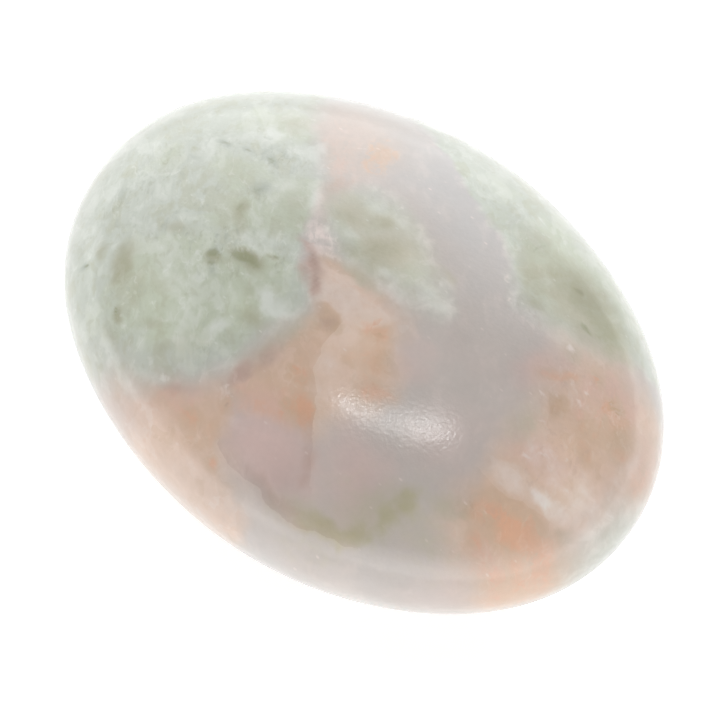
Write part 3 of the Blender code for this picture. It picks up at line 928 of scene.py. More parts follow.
def lay_stains(tree, colour, ragged, stains):
    """A colour with stains over it, and their masks. A stain is its tint, start, full and share."""
    masks = []
    for name, (tint, start, full, share) in stains.items():
        mask = use_group(tree, stain_mask, amount=stored(tree, name), ragged=ragged,
                         start=start, full=full)["Mask"]
        colour = lay(tree, colour, tint, mask, share)
        masks.append(mask)
    return colour, masks


stain_mask = stain_group()
print("stain_mask:", len(stain_mask.nodes), "nodes")

# %% [markdown]
# ## A crack that has healed
#
# A crack in calcite fills again with calcite. What stays visible is a thin white line, and a veil
# on one side of it, where the old crack runs on under the polish and sends light back. A painted
# line has no sides, but the stored distance is above zero on one side and below it on the other.
# So one group draws the line where the distance is nearly zero, and a veil that fades out to the
# left or to the right. Both die out past the crack's ends.

# %% A crack's line, and the veil on either side of it
# How many mm past a crack's ends its line or veil begins to fade, and where it is gone
LINE_ENDS = (-0.6, 0.0)
VEIL_ENDS = (-1.0, 1.5)


def crack_group():
    """Distance, Past, Wander, Width and Veil in mm; the Line and the Left and Right veils out."""
    tree, given, result = make_group(
        "healed_crack",
        {"Distance": 0.0, "Past": 0.0, "Wander": 0.0, "Width": 0.15, "Veil": 2.0},
        ("Line", "Left", "Right"))
    distance = maths(tree, "ADD", given["Distance"], given["Wander"])
    line = bell(tree, distance, given["Width"])
    line_end = ramp(tree, given["Past"], *LINE_ENDS, 1.0, 0.0)
    veil_end = ramp(tree, given["Past"], *VEIL_ENDS, 1.0, 0.0)
    tree.links.new(times(tree, line, line_end), result["Line"])
    for name, sign in (("Left", 1.0), ("Right", -1.0)):
        outward = times(tree, distance, sign)
        falling = maths(tree, "DIVIDE", times(tree, outward, -1.0), given["Veil"])
        veil = times(tree, maths(tree, "EXPONENT", falling), veil_end)
        beyond = maths(tree, "GREATER_THAN", outward, 0.0)
        tree.links.new(times(tree, veil, beyond), result[name])
    return tree


crack_mask = crack_group()
print("healed_crack:", len(crack_mask.nodes), "nodes")

# %% [markdown]
# ## Grains
#
# A stone like this is a mass of grains that grew against one another. Each has its own tone,
# because light meets it at its own angle, and some are outlined by a pale seam. A texture of cells
# comes nearest to that: it has one chance tone for each cell, and the distance to the cell's wall
# gives the seam. Real grains aren't such tidy cells, so their places are pushed about by noise
# beforehand.

# %% Each grain's tone and its seam
SEAM_WIDTH = 0.07


def grain_group():
    """Place and Size in mm; each grain's Tone about zero and its Border out."""
    tree, given, result = make_group(
        "crystal_grains", {"Place": (0.0, 0.0, 0.0), "Size": 2.5}, ("Tone", "Border"))
    scale = maths(tree, "DIVIDE", 1.0, given["Size"])
    cells = add_node(tree, "ShaderNodeTexVoronoi", {"Vector": given["Place"], "Scale": scale},
                     feature="F1")
    tone = add_node(tree, "ShaderNodeSeparateColor", {0: cells.outputs["Color"]}).outputs[0]
    tree.links.new(maths(tree, "SUBTRACT", tone, 0.5), result["Tone"])
    walls = add_node(tree, "ShaderNodeTexVoronoi", {"Vector": given["Place"], "Scale": scale},
                     feature="DISTANCE_TO_EDGE").outputs["Distance"]
    tree.links.new(ramp(tree, walls, 0.0, SEAM_WIDTH, 1.0, 0.0, smooth=True), result["Border"])
    return tree


grain_mask = grain_group()
print("crystal_grains:", len(grain_mask.nodes), "nodes")

# %% [markdown]
# ## Thin veins
#
# Hairlines wander through the green. A wave texture would lay them side by side like the lines of
# a ploughed field. A slow noise, on the other hand, passes through its middle value along winding
# lines with uneven gaps, so a narrow band about that value is a net of veins.

# %% Veins where a slow noise passes through its middle value
VEIN_BENDS = 0.8


def vein_group():
    """Place and Size in mm and the Width as a share of the noise; the Mask out."""
    tree, given, result = make_group(
        "thin_veins", {"Place": (0.0, 0.0, 0.0), "Size": 5.0, "Width": 0.02}, ("Mask",))
    scale = maths(tree, "DIVIDE", 1.0, given["Size"])
    slow = add_node(tree, "ShaderNodeTexNoise",
                    {"Vector": given["Place"], "Scale": scale, "Detail": 3.0, "Roughness": 0.5,
                     "Distortion": VEIN_BENDS}).outputs["Fac"]
    off_middle = maths(tree, "SUBTRACT", slow, 0.5)
    tree.links.new(bell(tree, off_middle, given["Width"]), result["Mask"])
    return tree


vein_mask = vein_group()
print("thin_veins:", len(vein_mask.nodes), "nodes")

# %% [markdown]
# ## Flecks
#
# Calcite splits along flat faces, and one that lies just under the polish shows as a tiny pale
# dot. Scattering real dots over the stone would mean thousands of small meshes that no one could
# tell apart. A texture of cells gives a dot in each cell, and only a share of them is lit.

# %% Tiny pale flecks
FLECK_CORE, FLECK_RIM = 0.08, 0.22
DIMMEST_FLECK = 0.3


def fleck_group():
    """Place and Spacing in mm and the Share of cells that are lit; the Mask out."""
    tree, given, result = make_group(
        "flecks", {"Place": (0.0, 0.0, 0.0), "Spacing": 1.2, "Share": 0.2}, ("Mask",))
    scale = maths(tree, "DIVIDE", 1.0, given["Spacing"])
    cells = add_node(tree, "ShaderNodeTexVoronoi", {"Vector": given["Place"], "Scale": scale},
                     feature="F1")
    chance = add_node(tree, "ShaderNodeSeparateColor", {0: cells.outputs["Color"]}).outputs
    lit = maths(tree, "LESS_THAN", chance[0], given["Share"])
    spot = ramp(tree, cells.outputs["Distance"], FLECK_CORE, FLECK_RIM, 1.0, 0.0, smooth=True)
    strength = maths(tree, "MULTIPLY_ADD", chance[1], 1.0 - DIMMEST_FLECK, DIMMEST_FLECK)
    tree.links.new(times(tree, times(tree, lit, spot), strength), result["Mask"])
    return tree


fleck_mask = fleck_group()
print("flecks:", len(fleck_mask.nodes), "nodes")

# %% [markdown]
# ## Noise that every step shares
#
# A fold in the rock bends the border of a body, the stain on it and the grains inside it alike.
# If each step made noise of its own, their edges would cross. So the noises for all edges are made
# once, in millimetres of the stone itself, and handed on to every step. Some are made on stretched
# places, because the fibres of this stone run across it from one corner of the photo to the other.

# %% The stone's own places in mm, and soft noises of several sizes
FIBRE_TURN = math.radians(-47.0)
FIBRE_STRETCH = (1.9, 1.0, 1.2)
WARP_SIZE, WARP_REACH = 2.0, 3.0
BROAD_SIZE, LUMP_SIZE, MOTTLE_SIZE, CRUMB_SIZE, FINE_SIZE = 9.0, 4.0, 1.7, 0.75, 0.45
STREAK_SIZE, SUGAR_SIZE = 1.8, 0.55


def shared_noise(tree):
    """Places in mm, plain, stretched and warped, and the noises made on them."""
    place = tree.nodes.new("ShaderNodeTexCoord").outputs["Object"]
    mm = vector_maths(tree, "SCALE", place, scale=1.0 / MM)
    streaky = add_node(tree, "ShaderNodeMapping",
                       {"Vector": mm, "Rotation": (0.0, 0.0, FIBRE_TURN), "Scale": FIBRE_STRETCH},
                       vector_type="TEXTURE").outputs[0]
    push = add_node(tree, "ShaderNodeTexNoise",
                    {"Vector": mm, "Scale": 1.0 / WARP_SIZE, "Detail": 2.0}).outputs["Color"]
    warped = vector_maths(tree, "ADD", streaky, vector_maths(tree, "SCALE", push, scale=WARP_REACH))
    return {
        "mm": mm, "streaky": streaky, "warped": warped,
        "broad": cloud(tree, mm, BROAD_SIZE, detail=2.0),
        "lumps": cloud(tree, mm, LUMP_SIZE, roughness=0.5, distortion=0.6),
        "mottle": cloud(tree, mm, MOTTLE_SIZE, roughness=0.5, distortion=0.5),
        "crumb": cloud(tree, streaky, CRUMB_SIZE, detail=2.0, roughness=0.6, distortion=0.6),
        "fine": cloud(tree, mm, FINE_SIZE, detail=2.0),
        "streaks": cloud(tree, streaky, STREAK_SIZE, roughness=0.5, distortion=0.5),
        "sugar": use_group(tree, grain_mask, place=warped, size=SUGAR_SIZE)["Tone"],
    }


# %% [markdown]
# ## The clear stone
#
# Between the coloured bodies the stone is so clear that its colour comes from below: a bluish lilac
# where there is nothing but calcite, grey, and pink where peach lies under it. Real depth would
# ask for a second body inside the first and slow the render down for a difference that no one
# sees. A blush that grows towards the peach bodies is stored instead, and milky wisps break it up.

# %% Lilac, grey and pink, with wisps
BLUSH_MIX = {"blush": 1.0, "broad": 0.35, "lumps": 0.2}
WISP_MIX = {"streaks": 0.7, "lumps": 0.7}
GREY_STARTS, GREY_WHOLE = 0.0, 0.4
PINK_STARTS, PINK_WHOLE = 0.35, 0.85
WISP_STARTS, WISP_WHOLE, WISP_SHARE = 0.03, 0.25, 0.16


def clear_stone(tree, noises):
    """Lilac, turning grey and then pink as the stored blush grows."""
    blush = mixed(tree, noises, BLUSH_MIX)
    grey = ramp(tree, blush, GREY_STARTS, GREY_WHOLE, smooth=True)
    pink = ramp(tree, blush, PINK_STARTS, PINK_WHOLE, smooth=True)
    colour = blend(tree, pink, blend(tree, grey, LILAC, GREY), MAUVE)
    wisps = mixed(tree, noises, WISP_MIX)
    wisps = ramp(tree, wisps, WISP_STARTS, WISP_WHOLE, 0.0, WISP_SHARE, smooth=True)
    return blend(tree, wisps, colour, WHITE)


# %% [markdown]
# ## The peach bodies
#
# Iron makes calcite peach, and the more of it there is, the deeper the colour: cream, peach, tan,
# salmon, orange, and ochre where it turns to rust. The grains show best here. Two sizes of grain
# and two of noise move each spot towards cream or tan first, so that no flat peach is left. The
# drawn crystals, which have crisp sides, and the stains come after.

# %% Peach grains, the drawn crystals and the iron stains
SHARD_SIZE, GRAIN_SIZE = 1.3, 3.0
TONE_MIX = {"shards": 0.28, "grains": 0.35, "lumps": 0.6, "mottle": 0.4}
TONE_STARTS, TONE_WHOLE, TONE_SHARE = 0.04, 0.3, 0.6
IRON_EDGE = {"lumps": 0.5, "mottle": 0.5, "crumb": 0.4, "shards": 0.3}
CRYSTAL_EDGE = {"mottle": 0.5, "crumb": 0.35}
CRYSTAL_SOFTNESS = {"cream": 0.3, "tan": 0.2}
TAN_CRYSTAL_SHARE = 0.75
CREAM_MIX = {"lumps": 1.0, "mottle": 0.6}
# Each slope over the noise: where it begins and ends, and the share that shows at either end
CREAM_PATCHES = (-0.16, 0.1, 0.25, 0.65)
SEAM_PATCHES = (0.0, 0.12, 0.0, 0.2)
# Each stain: its tint, where it starts, where it is full, and how much it covers
WIDE_STAINS = {"orange": (TAN, 0.08, 0.45, 0.7), "salmon": (SALMON, 0.1, 0.9, 0.85)}
STRONG_STAINS = {"orange": (ORANGE, 0.4, 1.0, 0.9), "ochre": (OCHRE, 0.15, 0.85, 0.8)}


def peach_stone(tree, noises):
    """The peach colour, and how strongly a point is stained tan or salmon."""
    shards = use_group(tree, grain_mask, place=noises["warped"], size=SHARD_SIZE)["Tone"]
    grains = use_group(tree, grain_mask, place=noises["warped"], size=GRAIN_SIZE)
    values = {**noises, "shards": shards, "grains": grains["Tone"]}
    tone = mixed(tree, values, TONE_MIX)
    pale = ramp(tree, tone, TONE_STARTS, TONE_WHOLE, 0.0, TONE_SHARE)
    dark = ramp(tree, tone, -TONE_STARTS, -TONE_WHOLE, 0.0, TONE_SHARE)
    colour = blend(tree, dark, blend(tree, pale, PEACH, CREAM), TAN)
    ragged = mixed(tree, values, IRON_EDGE)
    colour, wide_masks = lay_stains(tree, colour, ragged, WIDE_STAINS)

    crystal_edge = mixed(tree, noises, CRYSTAL_EDGE)
    cream_crystals, tan_crystals = (
        drawn_body(tree, name, crystal_edge, softness)["Mask"]
        for name, softness in CRYSTAL_SOFTNESS.items())
    uneven = ramp(tree, mixed(tree, noises, CREAM_MIX), *CREAM_PATCHES)
    colour = lay(tree, colour, CREAM, cream_crystals, uneven)
    colour = lay(tree, colour, TAN, tan_crystals, TAN_CRYSTAL_SHARE)

    colour = lay_stains(tree, colour, ragged, STRONG_STAINS)[0]
    seams = ramp(tree, noises["mottle"], *SEAM_PATCHES)
    colour = lay(tree, colour, CREAM, grains["Border"], seams)
    return colour, maths(tree, "MAXIMUM", *wide_masks)


# %% [markdown]
# ## The green bodies
#
# The green came in as a fine mud of other minerals, thick in some places and thin in others. It is
# mint at one end of the stone and the yellow green of ferns near the middle, with milky patches
# where it is thin and mossy ones where it is thick. Patches of one size only look like camouflage
# cloth, so there are large ones and small ones, and a net of hairline veins lies over them.

# %% Mint and fern green in soft patches, with thin veins
WARMTH_MIX = {"fern": 1.0, "lumps": 1.2}
FERN_STARTS, FERN_WHOLE = 0.2, 0.6
LARGE_MIX = {"lumps": 0.8, "streaks": 0.6}
SMALL_MIX = {"mottle": 0.9, "crumb": 0.4}
# Each patch: where it starts, where it is whole, and how much it covers
LARGE_MILK, LARGE_MOSS = (0.02, 0.12, 0.36), (-0.04, -0.14, 0.46)
SMALL_MILK, SMALL_MOSS = (0.06, 0.14, 0.16), (-0.08, -0.15, 0.25)
VEIN_SIZE, VEIN_WIDTH = 3.2, 0.012
# Each slope over the noise: where it begins and ends, and the share that shows at either end
PALE_VEINS, DARK_VEINS = (0.0, 0.1, 0.0, 0.45), (-0.02, -0.1, 0.0, 0.35)


def green_stone(tree, noises):
    """Mint and fern green, milk and moss, and veins that are pale or dark."""
    warmth = mixed(tree, noises, WARMTH_MIX)
    colour = blend(tree, ramp(tree, warmth, FERN_STARTS, FERN_WHOLE, smooth=True), SAGE, FERN)
    large = mixed(tree, noises, LARGE_MIX)
    small = mixed(tree, noises, SMALL_MIX)
    for noise_here, (start, whole, share), shade in (
            (large, LARGE_MILK, MILK), (large, LARGE_MOSS, MOSS),
            (small, SMALL_MILK, MILK), (small, SMALL_MOSS, MOSS)):
        patch = ramp(tree, noise_here, start, whole, 0.0, share, smooth=True)
        colour = blend(tree, patch, colour, shade)
    veins = use_group(tree, vein_mask, place=noises["streaky"], size=VEIN_SIZE,
                      width=VEIN_WIDTH)["Mask"]
    pale = ramp(tree, noises["mottle"], *PALE_VEINS)
    colour = lay(tree, colour, MILK, veins, pale)
    dark = ramp(tree, noises["mottle"], *DARK_VEINS)
    return lay(tree, colour, DEEP, veins, times(tree, dark, stored(tree, "crumbs")))


# %% [markdown]
# ## The bodies in the clear stone
#
# Now the three are put together in the order in which they would cover one another: clear stone,
# peach over it, green over both. The stored haze makes a border soft and lets a little of the
# clear stone through, and where there is none the border stays crisp. The green also gets its pale
# fringe here, since only this step knows where the border is.

# %% Clear stone, peach and green together
BODY_EDGE = {"lumps": 0.6, "mottle": 0.6, "crumb": 0.35}
SOFTNESS_MIX = {"haze": 2.2, "broad": 1.5}
LEAST_SOFTNESS, USUAL_SOFTNESS, PEACH_SOFTER = 0.3, 0.5, 0.5
HAZY_COVER = 0.7
PINK_SOFTNESS, PINK_LEAST, PINK_BY_STAIN = 1.8, 0.25, 0.55
FRINGE_WIDTH = 0.7
# A slope over the noise: where it begins and ends, and the share that shows at either end
FRINGE_PATCHES = (0.0, 0.12, 0.0, 0.22)


def join_bodies(tree, noises):
    """The colour so far, the green mask, and the white that suits the place."""
    ragged = mixed(tree, noises, BODY_EDGE)
    softness = maths(tree, "ADD", mixed(tree, noises, SOFTNESS_MIX), USUAL_SOFTNESS)
    softness = maths(tree, "MAXIMUM", softness, LEAST_SOFTNESS)
    cover = ramp(tree, stored(tree, "haze"), 0.0, 1.0, 1.0, HAZY_COVER)

    colour = clear_stone(tree, noises)
    peach, stained = peach_stone(tree, noises)
    softer = maths(tree, "ADD", softness, PEACH_SOFTER)
    colour = lay(tree, colour, peach, drawn_body(tree, "peach", ragged, softer)["Mask"], cover)
    pink = drawn_body(tree, "pink", ragged, PINK_SOFTNESS)["Mask"]
    pink_share = maths(tree, "MULTIPLY_ADD", stained, PINK_BY_STAIN, PINK_LEAST)
    colour = lay(tree, colour, peach, pink, pink_share)

    green_body = drawn_body(tree, "green", ragged, softness, FRINGE_WIDTH)
    green = green_body["Mask"]
    colour = lay(tree, colour, green_stone(tree, noises), green, cover)
    milk_here = blend(tree, green, WHITE, MILK)
    fringe = ramp(tree, noises["mottle"], *FRINGE_PATCHES)
    return lay(tree, colour, milk_here, green_body["Edge"], fringe), green, milk_here


# %% [markdown]
# ## Stains, crumbs and marks
#
# Over the bodies come the things that have no respect for their borders. Stains spread through
# whatever was there. Where the stone was crushed and healed, it is a crumble of pale and dark
# bits. And a few small marks are so crisp that the eye goes to them first, so each of those has
# its own entry in the lists. The same mark is white or milky, rust or deep green, depending on
# the body it lies in.

# %% Stains that spread over the bodies
OLIVE_LINE_MIX = {"olive_line": 1.0, "mottle": 2.0}
OLIVE_LINE_WIDTH = 1.1
# How many mm past its ends the line begins to fade and is gone, and its share at either place
OLIVE_LINE_ENDS = (-1.5, 0.5, 0.5, 0.0)
SPREAD_EDGE = {"mottle": 0.7, "streaks": 0.3, "crumb": 0.2}
STAIN_START, STAIN_FULL = 0.1, 0.95
STAIN_SHARES = {"khaki": 0.75, "olive": 0.8, "milk": 0.8, "rose": 0.75, "teal": 0.75}


def add_stains(tree, noises, colour, green, milk_here):
    """Stains that fade at ragged edges, the widest first."""
    line = bell(tree, mixed(tree, noises, OLIVE_LINE_MIX), OLIVE_LINE_WIDTH)
    line_end = ramp(tree, stored(tree, "olive_line_past"), *OLIVE_LINE_ENDS)
    colour = lay(tree, colour, OLIVE_YELLOW, line, line_end)
    olive_here = blend(tree, green, OLIVE_YELLOW, OLIVE)
    tints = {"khaki": KHAKI, "olive": olive_here, "milk": milk_here, "rose": ROSE, "teal": TEAL}
    stains = {name: (tint, STAIN_START, STAIN_FULL, STAIN_SHARES[name])
              for name, tint in tints.items()}
    return lay_stains(tree, colour, mixed(tree, noises, SPREAD_EDGE), stains)[0]


# %% Crumbs of broken stone, and the crisp marks
CRUMB_MIX = {"sugar": 0.35, "crumb": 0.8}
CRUMB_STARTS, CRUMB_WHOLE, CRUMB_SHARE = 0.1, 0.25, 0.45
DARK_EDGE, WHITE_EDGE = {"crumb": 0.3, "fine": 0.15}, {"crumb": 1.0, "fine": 0.5}
MARK_START, MARK_FULL, MARK_SHARE = 0.3, 0.8, 0.6


def add_crumbs_and_marks(tree, noises, colour, green, milk_here):
    """Crumbs of pale and dark stone where it is broken up, and the crisp marks on top."""
    broken_up = stored(tree, "crumbs")
    crumbs = mixed(tree, noises, CRUMB_MIX)
    for sign, shade in ((-1.0, blend(tree, green, ROSE, TEAL)), (1.0, milk_here)):
        share = ramp(tree, crumbs, sign * CRUMB_STARTS, sign * CRUMB_WHOLE, 0.0, CRUMB_SHARE)
        colour = lay(tree, colour, shade, share, broken_up)

    for name, tint, edge in (("dark", blend(tree, green, RUST, DEEP), DARK_EDGE),
                             ("white", milk_here, WHITE_EDGE)):
        mark = {name: (tint, MARK_START, MARK_FULL, MARK_SHARE)}
        colour = lay_stains(tree, colour, mixed(tree, noises, edge), mark)[0]
    return colour


# %% [markdown]
# ## The healed cracks
#
# The long crack down the middle is the stone's most striking line: cream crystals catch the light
# on its left and the stone is a shade darker on its right. The others are fainter, and each has
# its own mixture of line, veil and shadow. A table of these shares is easier to tune against the
# photo than five copies of the same nodes.

# %% White lines and the light beside them
CRACK_WIDTH = 0.15
CRACK_WOBBLE = {"mottle": 0.3, "crumb": 0.25}
BREAK_MIX = {"lumps": 1.0, "streaks": 1.0}
# A slope over the noise: where it begins and ends, and the share of the line at either end
CRACK_BREAKS = (-0.1, 0.2, 0.1, 1.0)
# Each crack: the side of its veil, the side of its shadow, how much the line, the veil and the
# shadow cover, and how far the veil reaches in mm
CRACKS = {
    "healed_crack": ("Left", "Right", 0.75, 0.6, 0.15, 2.4),
    "crack_tail": ("Left", "Right", 0.5, 0.2, 0.3, 1.6),
    "lower_crack": ("Right", "Left", 0.35, 0.4, 0.4, 1.3),
    "milk_vein": ("Left", "Right", 0.6, 0.0, 0.0, 1.0),
    "east_crack": ("Left", "Right", 0.3, 0.4, 0.0, 1.2),
}


def add_cracks(tree, noises, colour):
    """Broken white lines, and the light and shadow that each crack throws to its sides."""
    wobble = mixed(tree, noises, CRACK_WOBBLE)
    broken = ramp(tree, mixed(tree, noises, BREAK_MIX), *CRACK_BREAKS)
    for name, (lit, dark, line_share, veil_share, dark_share, reach) in CRACKS.items():
        crack = use_group(tree, crack_mask, distance=stored(tree, name), wander=wobble,
                          past=stored(tree, name + "_past"), width=CRACK_WIDTH, veil=reach)
        colour = lay(tree, colour, CREAM, crack[lit], veil_share)
        colour = lay(tree, colour, ROSE, crack[dark], dark_share)
        colour = lay(tree, colour, WHITE, times(tree, crack["Line"], broken), line_share)
    return colour


# %% [markdown]
# ## The polish
#
# A hand polish leaves a shine with a faint skin like that of an orange, too shallow to see except
# in the highlight, where it makes dapples. A bump of a few hundredths of a millimetre does that.
# Towards the rim the eye looks along the surface, the light has less stone to pass through, and
# the stone mirrors the bright room, so everything pales. That paleness is a painted reflection,
# laid into the colour by a mix by viewing angle, which copies it cheaply. The light that the stone
# takes in and lets out again softens the rest.

# %% Flecks, the painted rim reflection, fine shading and painted shade, and the polish
FLECK_TURN, FLECK_STRETCH = (0.3, 0.2, 0.8), (1.0, 2.2, 1.0)
FLECK_SPACING, FLECK_LIT, FLECK_SHARE = 1.4, 0.12, 0.5
RIM_REFLECTION_STARTS, RIM_REFLECTION_WHOLE, RIM_REFLECTION_SHARE = 0.4, 0.9, 0.5
# The 'away' share is painted shade on the skin that faces away from the camera
SHADE_MIX = {"broad": 0.1, "mottle": 0.08, "fine": 0.06, "cloudy": 0.16, "clear": -0.16,
             "away": -0.3}
PEEL_SIZE, PEEL_DEPTH, PEEL_STRENGTH = 0.4, 0.028 * MM, 0.6
SHINE_ROUGHNESS, STONE_IOR = 0.13, 1.6
LIGHT_THROUGH, LIGHT_REACH = 0.4, 3.0 * MM


def build_stone_material(material):
    """Colour, a faint orange peel left by the polish, and light that goes in and comes out."""
    material.use_nodes = True
    tree = material.node_tree
    shader = tree.nodes["Principled BSDF"].inputs
    noises = shared_noise(tree)
    colour, green, milk_here = join_bodies(tree, noises)
    colour = add_stains(tree, noises, colour, green, milk_here)
    colour = add_crumbs_and_marks(tree, noises, colour, green, milk_here)
    colour = add_cracks(tree, noises, colour)

    tilted = add_node(tree, "ShaderNodeMapping", {"Vector": noises["mm"], "Rotation": FLECK_TURN,
                                                  "Scale": FLECK_STRETCH}).outputs[0]
    flecks = use_group(tree, fleck_mask, place=tilted, spacing=FLECK_SPACING,
                       share=FLECK_LIT)["Mask"]
    colour = lay(tree, colour, milk_here, flecks, FLECK_SHARE)
    # Painted reflection: the colour pales towards grazing angles, where the rim mirrors the bright
    # room
    grazing = add_node(tree, "ShaderNodeLayerWeight", {"Blend": 0.5}).outputs["Facing"]
    veil = ramp(tree, grazing, RIM_REFLECTION_STARTS, RIM_REFLECTION_WHOLE, 0.0, RIM_REFLECTION_SHARE, smooth=True)
    colour = blend(tree, veil, colour, PAINTED_RIM_REFLECTION)
    # The stone's own tone, with painted shade where the skin faces away from the camera
    shade = maths(tree, "ADD", mixed(tree, noises, SHADE_MIX), 1.0)
    colour = vector_maths(tree, "SCALE", colour, scale=shade)
    tree.links.new(colour, shader["Base Color"])

    peel = cloud(tree, noises["mm"], PEEL_SIZE, detail=2.0)
    skin = add_node(tree, "ShaderNodeBump",
                    {"Height": peel, "Distance": PEEL_DEPTH, "Strength": PEEL_STRENGTH})
    tree.links.new(skin.outputs[0], shader["Normal"])
    shader["Roughness"].default_value = SHINE_ROUGHNESS
    shader["IOR"].default_value = STONE_IOR
    shader["Subsurface Weight"].default_value = LIGHT_THROUGH
    shader["Subsurface Radius"].default_value = (1.0, 1.0, 1.0)
    shader["Subsurface Scale"].default_value = LIGHT_REACH


build_stone_material(stone_material)
print("nodes in the stone's material:", len(stone_material.node_tree.nodes))

# %% [markdown]
# ## The table
#
# The photo's ground is a white without edge or shadow. White card under soft light would still
# come out grey near the stone, so the floor here glows a little of its own. It glows slightly more
# when the camera sees it than when the stone mirrors it, or else the stone's lower rim would burn
# out before the ground turned white.

# %% The floor
FLOOR_SIDE = 1.2
FLOOR_WHITE = (0.9, 0.9, 0.9, 1.0)
FLOOR_ROUGHNESS = 0.6
FLOOR_GLOW, FLOOR_GLOW_SEEN = 0.5, 0.58


def add_floor():
    """A white card that glows a little."""
    mesh = bpy.data.meshes.new("floor")
    shape = bmesh.new()
    bmesh.ops.create_grid(shape, x_segments=1, y_segments=1, size=FLOOR_SIDE / 2)
    shape.to_mesh(mesh)
    shape.free()
    floor = bpy.data.objects.new("floor", mesh)
    bpy.context.scene.collection.objects.link(floor)
    material = bpy.data.materials.new("white_table")
    material.use_nodes = True
    tree = material.node_tree
    shader = tree.nodes["Principled BSDF"].inputs
    shader["Base Color"].default_value = FLOOR_WHITE
    shader["Roughness"].default_value = FLOOR_ROUGHNESS
    shader["Emission Color"].default_value = (1.0, 1.0, 1.0, 1.0)
    seen = tree.nodes.new("ShaderNodeLightPath").outputs["Is Camera Ray"]
    glow = ramp(tree, seen, 0.0, 1.0, FLOOR_GLOW, FLOOR_GLOW_SEEN)
    tree.links.new(glow, shader["Emission Strength"])
    mesh.materials.append(material)


add_floor()
print("floor:", FLOOR_SIDE, "m wide")

# %% [markdown]
# ## Light from all round
#
# A polished pebble mirrors the whole room, so the room's light decides how it looks. This one lay
# in a white tent: a dim ceiling, brighter cloth behind and in front, and a bright skirt low down
# all round. The skirt is what draws the pale bands inside both ends of the stone, and the bands
# are crisp there, because beside the stone the skirt ends in a hard edge. Large area lights could
# build the same tent, but they would show their corners in the stone and bring grain. A world
# whose brightness is worked out from the direction has neither.

# %% The tent round the table
# How bright each part is
TENT_LIGHT = {"ceiling": 0.21, "skirt": 1.5, "back": 2.7, "front": 2.1}
TENT_TINT = (0.985, 0.995, 1.0, 1.0)
# Heights above the horizon in degrees, from where a part has gone to where it is whole
CEILING_FADE = (0.0, 15.0)
SOFT_SKIRT, CRISP_SKIRT = (14.0, 7.0), (11.0, 8.5)
BACK_FADE, FRONT_FADE = (60.0, 35.0), (35.0, 15.0)
# The skirt is crisp about this many degrees round from straight ahead, on either side
CRISP_TURN, CRISP_FADE = 68.0, (34.0, 20.0)
SIDEWAYS = 90.0


def blend_value(tree, amount, first, second):
    """Mix two numbers; amount 0 gives the first and 1 the second."""
    return add_node(tree, "ShaderNodeMix", {"Factor": amount, "A": first, "B": second},
                    data_type="FLOAT").outputs[0]


def add_tent():
    """A world whose brightness depends on the direction, and white where the camera sees it."""
    world = bpy.data.worlds.new("light_tent")
    world.use_nodes = True
    tree = world.node_tree
    direction = tree.nodes.new("ShaderNodeTexCoord").outputs["Generated"]
    upward = add_node(tree, "ShaderNodeSeparateXYZ", {0: direction}).outputs[2]
    height = times(tree, maths(tree, "ARCSINE", upward), math.degrees(1.0))
    right = vector_maths(tree, "DOT_PRODUCT", direction, tuple(view_right))
    forward = vector_maths(tree, "DOT_PRODUCT", direction, tuple(view_forward))
    turn = times(tree, maths(tree, "ARCTAN2", right, forward), math.degrees(1.0))
    turn = maths(tree, "ABSOLUTE", turn)

    parts = {"ceiling": ramp(tree, height, *CEILING_FADE)}
    off_crisp = maths(tree, "ABSOLUTE", maths(tree, "SUBTRACT", turn, CRISP_TURN))
    beside = ramp(tree, off_crisp, *CRISP_FADE)
    parts["skirt"] = blend_value(tree, beside, ramp(tree, height, *SOFT_SKIRT),
                                 ramp(tree, height, *CRISP_SKIRT))
    for name, fade, middle in (("back", BACK_FADE, 0.0), ("front", FRONT_FADE, 180.0)):
        level = times(tree, parts["ceiling"], ramp(tree, height, *fade))
        parts[name] = times(tree, level, ramp(tree, turn, SIDEWAYS, middle))
    seen = tree.nodes.new("ShaderNodeLightPath").outputs["Is Camera Ray"]
    light = blend_value(tree, seen, mixed(tree, parts, TENT_LIGHT), 1.0)
    background = tree.nodes["Background"].inputs
    background["Color"].default_value = TENT_TINT
    tree.links.new(light, background["Strength"])
    bpy.context.scene.world = world
    return world


tent = add_tent()
print("nodes in the tent's light:", len(tent.node_tree.nodes))

# %% [markdown]
# ## The window's shine
#
# The one crisp light is a window that shines through the tent's ceiling. Its picture on the stone
# is a wedge, narrow on the left and tall on the right, with a brighter spot at each end. A single
# square light mirrors as a plain bar, so the wedge is laid out from a few panels that overlap, and
# three small round lamps brighten its ends and its middle. They are dim: what counts is how bright
# a panel is for its size, since the stone mirrors only a twentieth of it.

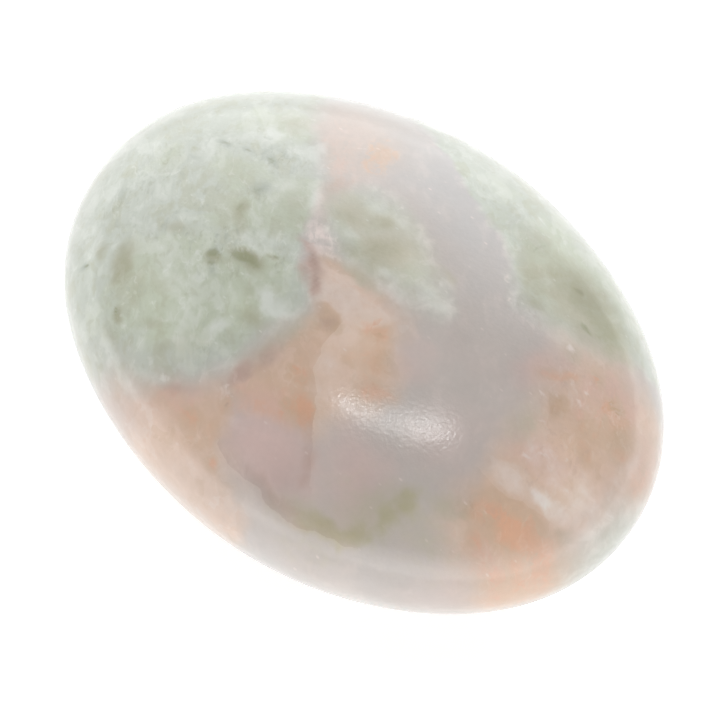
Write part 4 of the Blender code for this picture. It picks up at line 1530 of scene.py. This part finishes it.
# %% Panels and lamps overhead
LIGHT_HEIGHT = 0.6
# Each panel: right and forward of the stone, width and depth, watts, and its turn in degrees
WINDOW_PANELS = {
    "window_top": (0.014, 0.052, 0.150, 0.030, 0.048, 3.0),
    "window_low": (0.040, 0.022, 0.090, 0.036, 0.036, 0.0),
    "window_slant": (-0.024, 0.022, 0.112, 0.030, 0.034, -16.0),
    "window_right": (0.078, 0.070, 0.050, 0.056, 0.017, 0.0),
}
# Each lamp: right and forward of the stone, its width, and watts
ROUND_LAMPS = {
    "bulb_left": (-0.070, 0.062, 0.018, 0.026),
    "bulb_right": (0.070, 0.022, 0.012, 0.015),
    "bulb_middle": (0.042, 0.036, 0.010, 0.008),
}


def add_light(name, right, forward, width, depth, watts, turned=0.0, shape="RECTANGLE"):
    """A soft light overhead that faces the stone."""
    data = bpy.data.lights.new(name, "AREA")
    data.shape = shape
    data.size, data.size_y = width, depth
    data.energy = watts
    light = bpy.data.objects.new(name, data)
    offset = view_right * right + view_forward * forward + Vector((0.0, 0.0, LIGHT_HEIGHT))
    facing = offset.normalized()
    along = view_right * math.cos(turned) + view_forward * math.sin(turned)
    along = (along - facing * along.dot(facing)).normalized()
    turn = Matrix((along, facing.cross(along), facing)).transposed().to_4x4()
    light.matrix_world = Matrix.Translation(STONE_MIDDLE + offset) @ turn
    bpy.context.scene.collection.objects.link(light)


for name, (right, forward, width, depth, watts, turned) in WINDOW_PANELS.items():
    add_light(name, right, forward, width, depth, watts, math.radians(turned))
for name, (right, forward, width, watts) in ROUND_LAMPS.items():
    add_light(name, right, forward, width, width, watts, shape="DISK")
print("lights overhead:", len(WINDOW_PANELS) + len(ROUND_LAMPS))

# %% [markdown]
# ## White that stays white
#
# The usual view transform holds highlights back, so a white ground comes out grey. The
# photo's ground is pure white, and the Standard transform keeps it so. With that the scene is
# complete. The finished stone fills the same box as the solid it stands for.

# %% The view transform
bpy.context.scene.view_settings.view_transform = "Standard"
